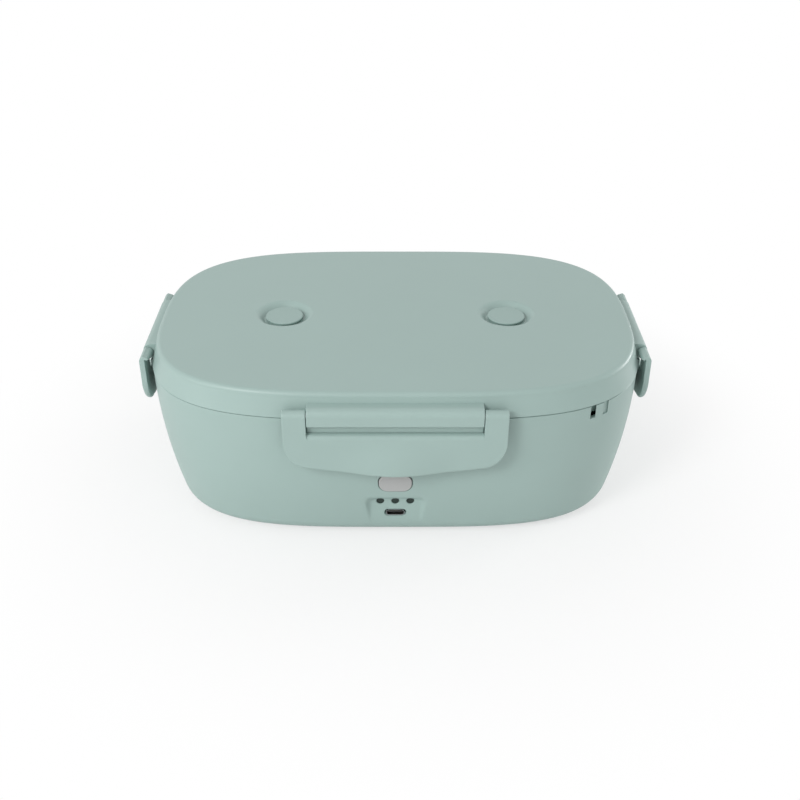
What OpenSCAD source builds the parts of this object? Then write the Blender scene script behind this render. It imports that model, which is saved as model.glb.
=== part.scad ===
// Heated lunch box with a lift-off lid, a heating well, a lift-out dish, and
// a battery and its controls in the base. Millimetres, +Z is up, the front
// faces -Y, and the origin is on the table under the middle of the box.
// Insets are measured inwards from the rim of the lid, the widest outline.

/* [Outline] */
// Width of the lid at its rim
lid_w = 240; // [234:1:250]
// Depth of the lid at its rim
lid_d = 163; // [160:1:170]
// Squareness of the outline across its width, where 2 is an ellipse
wide_power = 3.58; // [3.4:0.02:3.8]
// Squareness of the outline across its depth, where 2 is an ellipse
deep_power = 2.86; // [2.76:0.02:3.1]

/* [Lid] */
// Height of the lid above the seam
lid_h = 12.1; // [11.6:0.1:14]
// How far the side of the lid leans in below its top edge
lid_lean = 2.9; // [2:0.1:3.4]
// Radius of the top edge of the lid
lid_edge_r = 2.5; // [1.6:0.1:3]
// Thickness of the lid and of its side
lid_wall = 2.2; // [1.8:0.1:2.4]
// Gap between the lid and the housing at the seam
seam_gap = 0.4; // [0.3:0.05:0.6]
// Height of the liner's underside above the seam
liner_up = 2.2; // [2:0.1:2.6]
// Thickness of the liner
liner_t = 1.6; // [1.2:0.1:2]

/* [Steam vents] */
// Distance of each vent from the middle
vent_x = 55.9; // [45:0.5:62]
// Radius of the bowl round a vent at the top of the lid
vent_bowl_r = 15; // [14:0.25:16.5]
// Radius of the flat floor of the bowl
vent_floor_r = 10.3; // [10:0.1:11]
// Depth of the bowl
vent_bowl_h = 3.2; // [2.4:0.1:3.4]
// Radius of the cap of a vent plug
vent_cap_r = 9.35; // [8.5:0.05:9.6]
// Thickness of the cap of a vent plug
vent_cap_h = 2.1; // [1.6:0.1:2.4]
// Radius of the stem of a vent plug
vent_stem_r = 3.8; // [3:0.1:4.2]
// How far a vent plug pulls up
vent_lift = 3; // [2:0.25:3.5]

/* [Housing] */
// Height of the housing from its underside to the seam
shell_h = 71.6; // [69:0.2:76]
// Inset of the housing at the seam
shell_step = 0.3; // [0.2:0.05:0.6]
// How far the wall of the housing leans in over its whole height
shell_lean = 10; // [9:0.1:10.6]
// Radius of the lower edge of the housing
shell_edge_r = 10.3; // [9:0.1:11.5]
// Thickness of the housing
shell_wall = 2.2; // [1.8:0.1:2.4]
// Width of the flat rim at the top of the housing
rim_w = 6.9; // [6:0.1:7.4]
// Depth of the ledge that carries the well, below the rim
ledge_drop = 2; // [1.8:0.1:2.4]
// Height of the ribs that the clips close over
rib_h = 6.2; // [5.6:0.1:6.6]

/* [Base] */
// Inset of the edge of the bottom opening
base_in = 22; // [20:0.5:23]
// Thickness of the bottom cover
cover_t = 2.2; // [1.8:0.1:2.6]
// Radius of a rubber foot
foot_r = 6; // [4.5:0.25:7]
// How far the feet stand below the housing
foot_out = 1.2; // [0.8:0.1:2]
// Depth of a foot's seat in the cover
foot_seat = 0.8; // [0.5:0.1:1]
// Radius of a cover screw's thread
screw_r = 1.4; // [1.2:0.05:1.6]

/* [Clips] */
// Width of the front and rear clips
clip_w_long = 100.6; // [94:0.2:104]
// Width of the side clips
clip_w_short = 70.4; // [66:0.2:72]
// Width of the ear at each end of a clip
ear_w = 10.6; // [9.6:0.1:11.4]
// Width of the solid part of an ear, which holds the pin
ear_web = 4; // [3:0.1:5]
// Height of the hinge pins above the seam
pin_up = 3.6; // [3.4:0.05:3.8]
// Distance of the long hinge pins outside the rim of the lid
pin_out_long = 2.2; // [1.8:0.1:2.6]
// Distance of the short hinge pins outside the rim of the lid
pin_out_short = 0.4; // [0.35:0.05:1]
// Radius of the hinge pins
pin_r = 1; // [0.8:0.05:1.1]
// Distance from a pin to the outer face of its clip, and radius of the ears
clip_out = 2.8; // [2.6:0.05:2.9]
// Radius of the inner half of the ears of the side clips
barrel_r = 2.2; // [2.1:0.05:2.3]
// Distance from a pin to the top of its bar
bar_top = 3.9; // [3.8:0.05:4]
// Radius of the upper edge of a bar
bar_r = 3.6; // [2.6:0.1:3.8]
// Depth of the lower edge of a bar below the seam
bar_drop = 0.7; // [0.5:0.1:0.9]
// Thickness of a clip's flap
flap_t = 2.7; // [2.3:0.05:2.75]
// Depth of the bottom edge of a long flap below the seam
flap_drop_long = 26; // [23:0.2:27]
// Depth of the bottom edge of a short flap below the seam
flap_drop_short = 24; // [22:0.2:26]
// How much shorter a flap is at its corners than in the middle
flap_sag = 2.6; // [0.5:0.1:3]
// Width of the rounding of a flap's bottom corners
flap_corner_w = 11; // [8:0.25:12]
// Height of the rounding of a flap's bottom corners
flap_corner_h = 13.8; // [9:0.1:14]
// How far the finger lip of a flap stands out
lip_out = 3.2; // [2:0.1:4]
// Depth of a flap's window below the seam
window_drop = 5.2; // [4.8:0.1:5.6]

/* [Front panel] */
// Width of the power button
button_w = 15.4; // [13:0.1:17]
// Height of the power button
button_h = 10.4; // [9:0.1:11]
// Corner radius of the power button
button_r = 4.4; // [3:0.1:4.4]
// Height of the power button above the table
button_z = 36.2; // [35:0.1:38]
// How far the power button presses in
button_press = 0.8; // [0.5:0.05:1]
// Height of the charging port above the table
port_z = 15.2; // [14.6:0.1:15.8]
// Width of the port's cut-out
port_w = 11.3; // [10.4:0.1:12]
// Height of the port's cut-out
port_h = 3.85; // [3.6:0.05:4.2]
// Height of the charge lights above the table
light_z = 22.2; // [21.6:0.1:22.6]
// Distance between the charge lights
light_pitch = 7.15; // [6:0.05:8]
// Radius of a charge light's hole
light_r = 1.87; // [1.4:0.01:2]
// Half the width of the port pocket at the wall
pocket_half = 14.7; // [14:0.1:16]
// Height of the top of the port pocket above the table
pocket_top = 26.4; // [26:0.1:27]
// Inset of the flat floor of the port pocket
pocket_in = 7.9; // [7.6:0.05:8.2]
// Slope of the pocket's sides, over its depth
pocket_slope = 2.6; // [1.8:0.1:2.8]
// Width of a rim slot along the wall
slot_w = 2.9; // [2.4:0.1:3.4]
// Depth of a rim slot below the top of the housing
slot_h = 6.6; // [5:0.1:7]

/* [Well and dish] */
// Inset of the mouth of the well
well_in = 12.6; // [12.2:0.1:13.2]
// Lean of the sides of the well, as a share of their height
well_lean = 0.14; // [0.12:0.01:0.16]
// Thickness of the well
well_t = 0.8; // [0.6:0.05:1]
// Height of the underside of the well above the table
well_z = 27.4; // [27.2:0.1:30]
// Radius of the lower edge of the well
well_r = 12; // [10:0.25:13]
// Thickness of the dish
dish_t = 0.8; // [0.6:0.05:1]
// Gap between the dish and the well
dish_gap = 0.6; // [0.4:0.05:0.8]

/* [Battery and boards] */
// Radius of a battery cell
cell_r = 9.2; // [9:0.05:9.25]
// Length of a battery cell
cell_l = 65; // [60:0.5:66]
// Number of battery cells
cell_n = 6; // [4:1:6]
// Thickness of the heater
heater_t = 0.8; // [0.5:0.1:1]
// Thickness of the insulation under the heater
pad_t = 2.8; // [2:0.1:2.8]
// Thickness of the circuit boards
board_t = 1.6; // [1:0.1:1.8]
// Depth of the port board behind the floor of the port pocket
board_back = 6.8; // [6.6:0.1:7]

/* [Hidden] */

// Colours of the mouldings, the metals and the inside parts
shell_colour = [0.63, 0.71, 0.69];
seal_colour = [0.85, 0.86, 0.84];
steel_colour = [0.75, 0.76, 0.77];
dark_colour = [0.2, 0.22, 0.22];
board_colour = [0.1, 0.35, 0.22];

ring_n = 60;
fine = 48;
eps = 0.01;

// Clearances: moving pieces, fixed pieces, and pins in their holes
run_gap = 0.3;
fit_gap = 0.2;
pin_gap = 0.05;
press_gap = 0.02;

// Levels above the table
seam_z = foot_out + shell_h;
lid_rim_z = seam_z + seam_gap / 2;
lid_top_z = seam_z + lid_h;
rim_z = seam_z - seam_gap / 2;
ledge_z = rim_z - ledge_drop;
liner_z = seam_z + liner_up;
pin_z = seam_z + pin_up;
dish_flange_z = ledge_z + well_t + run_gap;
cover_top_z = foot_out + cover_t;

// The outline of the rim, its outward direction, and insets of it
function signed_power(v, p) = sign(v) * pow(abs(v), p);
function rim_point(a) = [
    lid_w / 2 * signed_power(cos(a), 2 / wide_power),
    lid_d / 2 * signed_power(sin(a), 2 / deep_power)
];
function rim_out(a) = let (
    g = [
        wide_power / lid_w * signed_power(cos(a), 2 - 2 / wide_power),
        deep_power / lid_d * signed_power(sin(a), 2 - 2 / deep_power)
    ]
) g / norm(g);
function inset_point(a, inset) = rim_point(a) - inset * rim_out(a);
function outline(inset) = [
    for (k = [0:ring_n - 1]) inset_point((k + 0.5) * 360 / ring_n, inset)
];
function level(p) = [for (q = outline(p[0])) [q[0], q[1], p[1]]];

// Two triangles for each cell between neighbouring rings of n points
function cell_faces(a, b, c, d) = [[a, b, c], [a, c, d]];
function ring_faces(lower, upper, n) = [
    for (k = [0:n - 1]) let (m = (k + 1) % n)
        each cell_faces(lower * n + k, upper * n + k, upper * n + m, lower * n + m)
];
function joined(lists) = [for (part = lists) each part];

// A solid between stacked rings, closed by a flat face at each end
module stack(rings) {
    n = len(rings[0]);
    last = len(rings) - 1;
    sides = joined([for (j = [0:last - 1]) ring_faces(j, j + 1, n)]);
    first_face = [for (k = [0:n - 1]) k];
    last_face = [for (k = [n - 1:-1:0]) last * n + k];
    polyhedron(points = joined(rings), faces = concat([first_face], sides, [last_face]));
}

// The same for rings that fold flat in two halves about an odd last point
function fold_faces(n) = let (tip = (n - 1) / 2) concat(
    joined([for (k = [0:tip - 2]) cell_faces(k, k + 1, n - 2 - k, n - 1 - k)]),
    [[tip - 1, tip, tip + 1]]
);
module strip(rings) {
    n = len(rings[0]);
    last = len(rings) - 1;
    sides = joined([for (j = [0:last - 1]) ring_faces(j, j + 1, n)]);
    last_end = [for (f = fold_faces(n)) [for (i = [2:-1:0]) last * n + f[i]]];
    polyhedron(points = joined(rings), faces = concat(fold_faces(n), sides, last_end));
}

// A closed band round the box, from a closed chain of inset and height
module band(chain) {
    rings = [for (p = chain) level(p)];
    count = len(rings);
    sides = joined([for (j = [0:count - 1]) ring_faces(j, (j + 1) % count, ring_n)]);
    polyhedron(points = joined(rings), faces = sides);
}

// A cup, from a chain of inset and height that ends on two flat floors
module cup(chain) {
    stack([for (p = chain) level(p)]);
}

// A flat plate that follows the outline
module plate(inset, z, t) {
    translate([0, 0, z])
        linear_extrude(t)
            polygon(outline(inset));
}

// A round-cornered rectangle of true arcs, centred
module round_box_2d(w, h, r) {
    square([w - 2 * r, h], center = true);
    square([w, h - 2 * r], center = true);
    for (x = [-1, 1], y = [-1, 1])
        translate([x * (w / 2 - r), y * (h / 2 - r)])
            circle(r, $fn = fine);
}

// An outline in X and Z, pushed along Y from one plane to another
module along_y(y_from, y_to) {
    translate([0, y_to, 0])
        rotate([90, 0, 0])
            linear_extrude(y_to - y_from)
                children();
}

// A wire through a list of points, mitred where it bends
function unit(v) = v / norm(v);
function way(points, k) = unit(points[k] - points[k - 1]);
function bend(points, k) = k == len(points) - 1
    ? way(points, k)
    : unit(way(points, k) + way(points, k + 1));
function carried(ring, d, centre, facing) = [
    for (p = ring) p + d * ((centre - p) * facing) / (d * facing)
];
function bends(points, ring, k) = k == len(points) ? [] : let (
    next = carried(ring, way(points, k), points[k], bend(points, k))
) concat([next], bends(points, next, k + 1));
module wire(points, r) {
    d = way(points, 1);
    across = abs(d[2]) > 0.9 ? unit(cross([0, 1, 0], d)) : unit(cross([0, 0, 1], d));
    up = cross(d, across);
    start = [
        for (k = [0:7]) let (a = 22.5 + 45 * k)
            points[0] + r * (across * cos(a) + up * sin(a))
    ];
    stack(concat([start], bends(points, start, 1)));
}

// The wall of the housing: its inset at a height, and the lower fillet
function wall_in(z) = shell_step + shell_lean * pow((seam_z - z) / shell_h, 2);
wall_tilt = atan(2 * shell_lean * (shell_h - shell_edge_r) / pow(shell_h, 2));
fillet_z = foot_out + shell_edge_r;
fillet_in = wall_in(fillet_z - shell_edge_r * sin(wall_tilt)) + shell_edge_r * cos(wall_tilt);
function fillet_point(r, a) = [fillet_in - r * sin(a), fillet_z - r * cos(a)];
fillet_steps = [for (k = [0:5]) k * (90 - wall_tilt) / 5];
wall_steps = [for (k = [1:7]) k / 8];
wall_low = fillet_z - shell_edge_r * sin(wall_tilt);
function wall_level(t) = wall_low + (rim_z - wall_low) * t;

// Where a point on the front wall lies, by its height and depth in the wall
function front_y(z, depth) = -(lid_d / 2 - wall_in(z) - depth);

// Places of the cover screws and feet, as angles round the outline
screw_angles = [35, 90, 145, 215, 270, 325];
screw_in = base_in + 6;
foot_angles = [60, 120, 240, 300];
foot_in = base_in + foot_r + 5;
boss_r = screw_r + 2;
boss_h = 11;
function screw_at(a) = inset_point(a, screw_in);
function foot_at(a) = inset_point(a, foot_in);

// Hinge pins, ears and flaps, in a clip's own frame: U along the pin,
// V outwards from the pin and W up from it
front_pin_y = lid_d / 2 + pin_out_long;
side_pin_x = lid_w / 2 + pin_out_short;
function bar_half(w) = w / 2 - ear_w - run_gap;
window_w = -(window_drop + pin_up);
ear_lap = 0.5;

// Puts children of a clip's frame on a side: 0 right, 90 rear, 180 left
module on_side(turn, out) {
    rotate([0, 0, turn])
        translate([out, 0, pin_z])
            rotate([0, 0, -90])
                children();
}

// A profile in V and W, pushed along U between two stations
module along_u(from, to) {
    translate([from, 0, 0])
        rotate([90, 0, 90])
            linear_extrude(to - from)
                children();
}

// Arc points from one angle to another
function arc(cx, cy, r, from, to, steps) = [
    for (k = [0:steps]) let (a = from + (to - from) * k / steps)
        [cx + r * cos(a), cy + r * sin(a)]
];
roof_t = 1.3;

// The round front of an ear, which ends sooner where its back is smaller
function ear_front(back_r) = arc(0, 0, clip_out, 0, back_r < clip_out ? 70 : 90, 6);

// The open end of an ear: the flap's skin with a roof that curls behind
module ear_roof_2d(back_r) {
    polygon(concat(
        [[clip_out - flap_t, window_w - ear_lap], [clip_out, window_w - ear_lap]],
        ear_front(back_r),
        arc(0, 0, back_r, 98, 150, 4),
        arc(0, 0, back_r - roof_t, 150, 98, 4),
        [[clip_out - flap_t, back_r - roof_t - 0.1]]
    ));
}

// The solid web of an ear, a barrel round the pin joined to the skin
module ear_web_2d(back_r) {
    r = back_r - 0.1;
    circle(r, $fn = fine);
    polygon(concat([[0, -r], [clip_out, -r]], ear_front(back_r), [[0, 0]]));
}

// The lower edge of a flap below the pin, at a station along it
function flap_bottom(u, half, drop) = let (
    straight = half - flap_corner_w,
    over = max(0, abs(u) - straight) / flap_corner_w
) -pin_up - (abs(u) < straight
    ? drop - flap_sag * pow(abs(u) / straight, 2.4)
    : drop - flap_sag - flap_corner_h * (1 - sqrt(max(0, 1 - over * over))));

// How far a flap bulges at a station and a share of its height
function flap_bulge(u, s, half) = let (
    reach = 0.6 * half,
    across = abs(u) < reach ? pow(cos(90 * u / reach), 2) : 0
) lip_out * across * pow(sin(90 * s), 1.7);

// One closed ring of the flap's section, down the inside and up the outside
flap_steps = 7;
function flap_ring(u, half, drop) = let (
    bottom = flap_bottom(u, half, drop),
    deep = window_w - bottom,
    lip_r = 0.45 * flap_t
) concat(
    [for (k = [0:flap_steps]) let (s = k / flap_steps)
        [u, clip_out - flap_t + flap_bulge(u, s, half), window_w - (deep - lip_r) * s]],
    [[u, clip_out - 0.5 * flap_t + flap_bulge(u, 1, half), bottom]],
    [for (k = [flap_steps:-1:0]) let (s = k / flap_steps)
        [u, clip_out + flap_bulge(u, s, half), window_w - (deep - lip_r) * s]]
);

// Stations along a flap: round its corners, then evenly over its middle
function flap_stations(half) = let (
    straight = half - flap_corner_w,
    corner = [for (k = [0:4]) straight + flap_corner_w * cos(18 * k)],
    middle = [for (k = [0:6]) straight * (1 - k / 7)],
    right = concat(corner, middle)
) concat([for (u = right) -u], [0], [for (k = [len(right) - 1:-1:0]) right[k]]);

module clip(w, drop, back_r) {
    half = w / 2;
    inner = half - ear_w;
    difference() {
        union() {
            strip([for (u = flap_stations(half)) flap_ring(u, half, drop)]);
            for (side = [0, 1])
                mirror([side, 0, 0]) {
                    along_u(inner, half)
                        ear_roof_2d(back_r);
                    along_u(inner, inner + ear_web)
                        ear_web_2d(back_r);
                }
        }
        rotate([0, 90, 0])
            cylinder(h = w, r = pin_r + pin_gap, center = true, $fn = fine);
    }
}

// The bar on the lid that a clip's pin runs through, rooted in the lid's
// side, with a skirt that hangs a little below the seam in front of the wall
bar_low = -pin_up - bar_drop;
module bar(w, pin_out) {
    root = -pin_out - 0.8 * lid_wall;
    lean = lid_lean * (pin_up + bar_top) / (lid_h - lid_edge_r);
    skirt = -pin_out + 0.5;
    along_u(-bar_half(w), bar_half(w))
        polygon(concat(
            [[root, lid_rim_z - pin_z], [skirt, lid_rim_z - pin_z]],
            [[skirt, bar_low], [clip_out, bar_low]],
            arc(clip_out - bar_r, bar_top - bar_r, bar_r, 0, 90, 7),
            [[root - lean, bar_top]]
        ));
}
module pin_hole(w) {
    rotate([0, 90, 0])
        cylinder(h = w, r = pin_r + press_gap, center = true, $fn = fine);
}
module pin(w) {
    half = w / 2 - ear_w + ear_web;
    rotate([0, 90, 0])
        cylinder(h = 2 * half, r = pin_r, center = true, $fn = fine);
}

// All four sides: turn, distance of the pin from the middle, clip width,
// distance of the pin outside the rim, depth of the flap, and radius of the
// inner half of the ears
sides = [
    [-90, front_pin_y, clip_w_long, pin_out_long, flap_drop_long, clip_out],
    [90, front_pin_y, clip_w_long, pin_out_long, flap_drop_long, clip_out],
    [180, side_pin_x, clip_w_short, pin_out_short, flap_drop_short, barrel_r],
    [0, side_pin_x, clip_w_short, pin_out_short, flap_drop_short, barrel_r]
];

// The rib that a clip closes over, just behind its flap
module rib(w, pin_out) {
    half = bar_half(w);
    root = -pin_out - 2;
    face = clip_out - flap_t - run_gap;
    top = bar_low - run_gap;
    along_u(-half, half)
        polygon([
            [root, top - rib_h], [face - 0.5, top - rib_h], [face, top - rib_h + 0.5],
            [face, top - 0.4], [face - 0.4, top], [root, top]
        ]);
}

// The port pocket: its floor plane, its back block and its cut
floor_y = -(lid_d / 2 - pocket_in);
block_y = floor_y + shell_wall;
pocket_edge = 3.5;
block_half = pocket_half + 1.8;
block_top = pocket_top + 2.1;
block_low = fillet_z - 3;
module pocket_block() {
    heights = [for (k = [0:5]) block_low + (block_top - block_low) * k / 5];
    translate([-block_half, 0, 0])
        rotate([90, 0, 90])
            linear_extrude(2 * block_half)
                polygon(concat(
                    [[block_y, block_top], [block_y, block_low]],
                    [for (z = heights) [front_y(max(z, wall_low), shell_wall / 2), z]]
                ));
}
module pocket_2d(grow) {
    half = pocket_half - pocket_slope + grow;
    top = pocket_top - pocket_slope + grow;
    r = pocket_edge;
    polygon(concat(
        [[-half, 0], [half, 0]],
        arc(half - r, top - r, r, 0, 90, 4),
        arc(-half + r, top - r, r, 90, 180, 4)
    ));
}
module pocket_cut() {
    depth = floor_y - front_y(pocket_top, 0);
    hull() {
        along_y(floor_y - eps, floor_y)
            pocket_2d(0);
        along_y(floor_y - 2 * depth, floor_y - 2 * depth + eps)
            pocket_2d(2 * pocket_slope);
    }
}

// The port board, its posts and what stands on it
board_y = floor_y + board_back;
port_board_half = 22;
port_board_low = cover_top_z + boss_h / 2 + 1.1;
port_board_top = 41;
post_x = 18.5;
post_zs = [port_board_low + 3, 32];
post_r = 2.6;
board_screw_r = 0.9;
module board_posts(r, y_from) {
    for (x = [-post_x, post_x], z = post_zs)
        translate([x, 0, z])
            along_y(y_from == 0 ? front_y(z, shell_wall / 2) : y_from, board_y)
                circle(r, $fn = fine);
}

// The power button's hole, guide and retaining flange
button_gap = 0.3;
guide_t = 1.3;
guide_back = front_y(button_z, shell_wall) + 1.1;
flange_y = guide_back + fit_gap;
flange_t = 0.8;
flange_lap = 1;
button_out = 0.5;
switch_h = 3.5;
module button_2d(grow) {
    translate([0, button_z])
        round_box_2d(button_w + 2 * grow, button_h + 2 * grow, button_r + grow);
}

// A rim slot, which runs back into the wall in one direction
module slot_cut(a, deep) {
    p = rim_point(a);
    out = rim_out(a);
    side = [-out[1], out[0]] * slot_w / 2;
    into = [cos(78), sin(78)];
    translate([0, 0, rim_z - slot_h])
        linear_extrude(slot_h + 5)
            polygon([
                p - side - 5 * into, p + side - 5 * into,
                p + side + deep * into, p - side + deep * into
            ]);
}
slot_angles = [-53, -47.2];
slot_depths = [5, 1.5];

module housing_shell() {
    inner_top = ledge_z - 4.6;
    chain = concat(
        [[base_in, cover_top_z - cover_t]],
        [for (a = fillet_steps) fillet_point(shell_edge_r, a)],
        [for (t = wall_steps) [wall_in(wall_level(t)), wall_level(t)]],
        [[shell_step, rim_z - 0.4], [shell_step + 0.4, rim_z]],
        [[shell_step + rim_w, rim_z], [shell_step + rim_w, ledge_z]],
        [[well_in - fit_gap, ledge_z], [well_in - fit_gap, ledge_z - 1.6]],
        [[wall_in(inner_top) + shell_wall + 1.4, inner_top + 1.4]],
        [for (t = [0.9, 0.7, 0.5, 0.3, 0.1]) [wall_in(wall_level(t)) + shell_wall, wall_level(t)]],
        [for (k = [5:-1:0]) fillet_point(shell_edge_r - shell_wall, fillet_steps[k])],
        [[base_in, foot_out + shell_wall]]
    );
    color(shell_colour)
        difference() {
            union() {
                band(chain);
                for (s = sides)
                    on_side(s[0], s[1])
                        rib(s[2], s[3]);
                pocket_block();
                board_posts(post_r, 0);
                along_y(front_y(button_z, shell_wall / 2), guide_back)
                    button_2d(button_gap + guide_t);
                for (a = screw_angles)
                    screw_boss(a);
            }
            pocket_cut();
            along_y(floor_y - 20, guide_back + 5)
                button_2d(button_gap);
            for (x = [-1, 0, 1])
                translate([x * light_pitch, 0, light_z])
                    along_y(floor_y - 10, block_y + 5)
                        circle(light_r, $fn = fine);
            along_y(floor_y - 10, block_y + 5)
                translate([0, port_z])
                    round_box_2d(port_w, port_h, port_h / 2 - eps);
            board_posts(board_screw_r, board_y - 5);
            for (a = screw_angles)
                translate([screw_at(a)[0], screw_at(a)[1], cover_top_z - 1])
                    cylinder(h = boss_h - 1, r = screw_r, $fn = fine);
            for (k = [0, 1])
                slot_cut(slot_angles[k], slot_depths[k]);
        }
}

// A boss for a cover screw, joined to the wall by a web
module screw_boss(a) {
    p = screw_at(a);
    out = rim_out(a);
    web_in = fillet_point(shell_edge_r - shell_wall / 2, 30)[0];
    translate([p[0], p[1], cover_top_z]) {
        cylinder(h = boss_h, r = boss_r, $fn = fine);
        rotate([0, 0, atan2(out[1], out[0])])
            translate([0, -1, 0])
                cube([screw_in - web_in, 2, boss_h / 2]);
    }
}

module bottom_cover() {
    color(shell_colour)
        difference() {
            union() {
                plate(base_in + run_gap, foot_out, cover_t);
                for (p = standoffs)
                    translate([p[0], p[1], cover_top_z])
                        cylinder(h = board_z - cover_top_z, r = standoff_r, $fn = fine);
            }
            for (a = screw_angles)
                translate([screw_at(a)[0], screw_at(a)[1], 0]) {
                    cylinder(h = 20, r = screw_r + fit_gap, $fn = fine);
                    cylinder(h = foot_out + 1.2, r = screw_head_r + fit_gap, $fn = fine);
                }
            for (a = foot_angles)
                translate([foot_at(a)[0], foot_at(a)[1], foot_out - 1])
                    cylinder(h = 1 + foot_seat, r = foot_r, $fn = fine);
            for (p = standoffs)
                translate([p[0], p[1], cover_top_z])
                    cylinder(h = 20, r = board_screw_r, $fn = fine);
        }
}

screw_head_r = 2.6;
module cover_screws() {
    color(steel_colour)
        for (a = screw_angles)
            translate([screw_at(a)[0], screw_at(a)[1], foot_out + 0.1])
                difference() {
                    union() {
                        cylinder(h = 1.1, r = screw_head_r, $fn = fine);
                        cylinder(h = boss_h - 1, r = screw_r - press_gap, $fn = fine);
                    }
                    translate([-1.8, -0.35, -1])
                        cube([3.6, 0.7, 1.5]);
                    translate([-0.35, -1.8, -1])
                        cube([0.7, 3.6, 1.5]);
                }
}

module rubber_feet() {
    color(dark_colour)
        for (a = foot_angles)
            translate([foot_at(a)[0], foot_at(a)[1], 0]) {
                cylinder(h = 0.5, r1 = foot_r - 0.9, r2 = foot_r - 0.4, $fn = fine);
                translate([0, 0, 0.5])
                    cylinder(h = foot_out + foot_seat - 0.5, r = foot_r - 0.2, $fn = fine);
            }
}

// The well and the dish: insets of their sides, and a cup chain for each
function side_in(mouth, top_z, z) = mouth + well_lean * (top_z - z);
function bowl_chain(mouth, top_z, floor_z, r) = let (
    tilt = atan(well_lean),
    centre_z = floor_z + r,
    centre_in = side_in(mouth, top_z, centre_z - r * sin(tilt)) + r * cos(tilt)
) [for (k = [0:5]) let (a = k * (90 - tilt) / 5) [centre_in - r * sin(a), centre_z - r * cos(a)]];
function reversed(list) = [for (k = [len(list) - 1:-1:0]) list[k]];
well_flange_in = shell_step + rim_w + fit_gap;

module heating_well() {
    top = ledge_z + well_t;
    outer = bowl_chain(well_in, ledge_z, well_z, well_r);
    inner = bowl_chain(well_in + well_t, top, well_z + well_t, well_r - well_t);
    color(steel_colour)
        cup(concat(
            outer,
            [[well_in, ledge_z], [well_flange_in, ledge_z], [well_flange_in, top]],
            [[well_in + well_t, top]],
            reversed(inner)
        ));
}

dish_mouth = well_in + well_t + dish_gap;
module inner_dish() {
    flange_in = well_flange_in + fit_gap;
    top = dish_flange_z + dish_t;
    floor_z = well_z + well_t + run_gap;
    outer_r = well_r - well_t - dish_gap;
    outer = bowl_chain(dish_mouth, dish_flange_z, floor_z, outer_r);
    inner = bowl_chain(dish_mouth + dish_t, top, floor_z + dish_t, outer_r - dish_t);
    color(steel_colour)
        cup(concat(
            outer,
            [[dish_mouth, dish_flange_z], [flange_in, dish_flange_z], [flange_in, top]],
            [[dish_mouth + dish_t, top]],
            reversed(inner)
        ));
}

// Under the well: a heater, its insulation, and the sensors in a window
heater_in = side_in(well_in, ledge_z, well_z) + well_r - 1;
heater_z = well_z - heater_t;
pad_z = heater_z - pad_t;
window_r = 9;
lead_x = lid_w / 2 - heater_in - 6;
module heater_mat() {
    color("darkorange")
        difference() {
            plate(heater_in, heater_z, heater_t);
            translate([0, 0, heater_z - 1])
                cylinder(h = heater_t + 2, r = window_r, $fn = fine);
        }
}

module insulation_pad() {
    color("ivory")
        difference() {
            plate(heater_in - 1, pad_z, pad_t);
            translate([0, 0, pad_z - 1])
                cylinder(h = pad_t + 2, r = window_r, $fn = fine);
            translate([0, -2, pad_z - 1])
                cube([lead_x + 2, 4, pad_t + 2]);
            translate([lead_x - 2, -2, pad_z - 1])
                cube([4, 16, pad_t + 2]);
        }
}

sensor_r = 2.4;
module temperature_sensor() {
    color(dark_colour)
        translate([3.6, 0, well_z - 2.6])
            cylinder(h = 2.6, r = sensor_r, $fn = fine);
}

module thermal_fuse() {
    color(steel_colour)
        translate([-3.6, -4.5, well_z - 1.8])
            rotate([-90, 0, 0])
                cylinder(h = 9, r = 1.8, $fn = fine);
}

// Battery: cells in a row, in a tray with saddle ribs
cell_pitch = 2 * cell_r + 0.8;
cell_shift = 4.5;
cell_z = pad_z - run_gap - cell_r;
tray_t = cell_z - cell_r - cover_top_z;
cell_xs = [for (k = [0:cell_n - 1]) (k - (cell_n - 1) / 2) * cell_pitch];
cell_front = cell_shift - cell_l / 2;
module battery_tray() {
    half = cell_n * cell_pitch / 2 + 1.4;
    color(dark_colour)
        difference() {
            union() {
                translate([-half, cell_front - 3, cover_top_z])
                    cube([2 * half, cell_l + 6, tray_t - fit_gap]);
                for (y = [cell_shift - 24, cell_shift + 20])
                    translate([-half, y, cover_top_z])
                        cube([2 * half, 4, cell_z - cover_top_z - 2]);
            }
            for (x = cell_xs)
                translate([x, cell_shift, cell_z])
                    rotate([90, 0, 0])
                        cylinder(h = cell_l + 20, r = cell_r + 0.1, center = true, $fn = fine);
        }
}

module battery_cells() {
    color("royalblue")
        for (x = cell_xs)
            translate([x, cell_shift, cell_z])
                rotate([90, 0, 0])
                    cylinder(h = cell_l, r = cell_r, center = true, $fn = fine);
}

link_t = 0.3;
link_h = 7;
module cell_links() {
    color(steel_colour)
        for (end = [-1, 1], k = [0:2:cell_n - 2])
            translate([
                (cell_xs[k] + cell_xs[k + 1]) / 2,
                cell_shift + end * (cell_l + link_t) / 2,
                cell_z
            ])
                cube([cell_pitch + 6, link_t, link_h], center = true);
}

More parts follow.
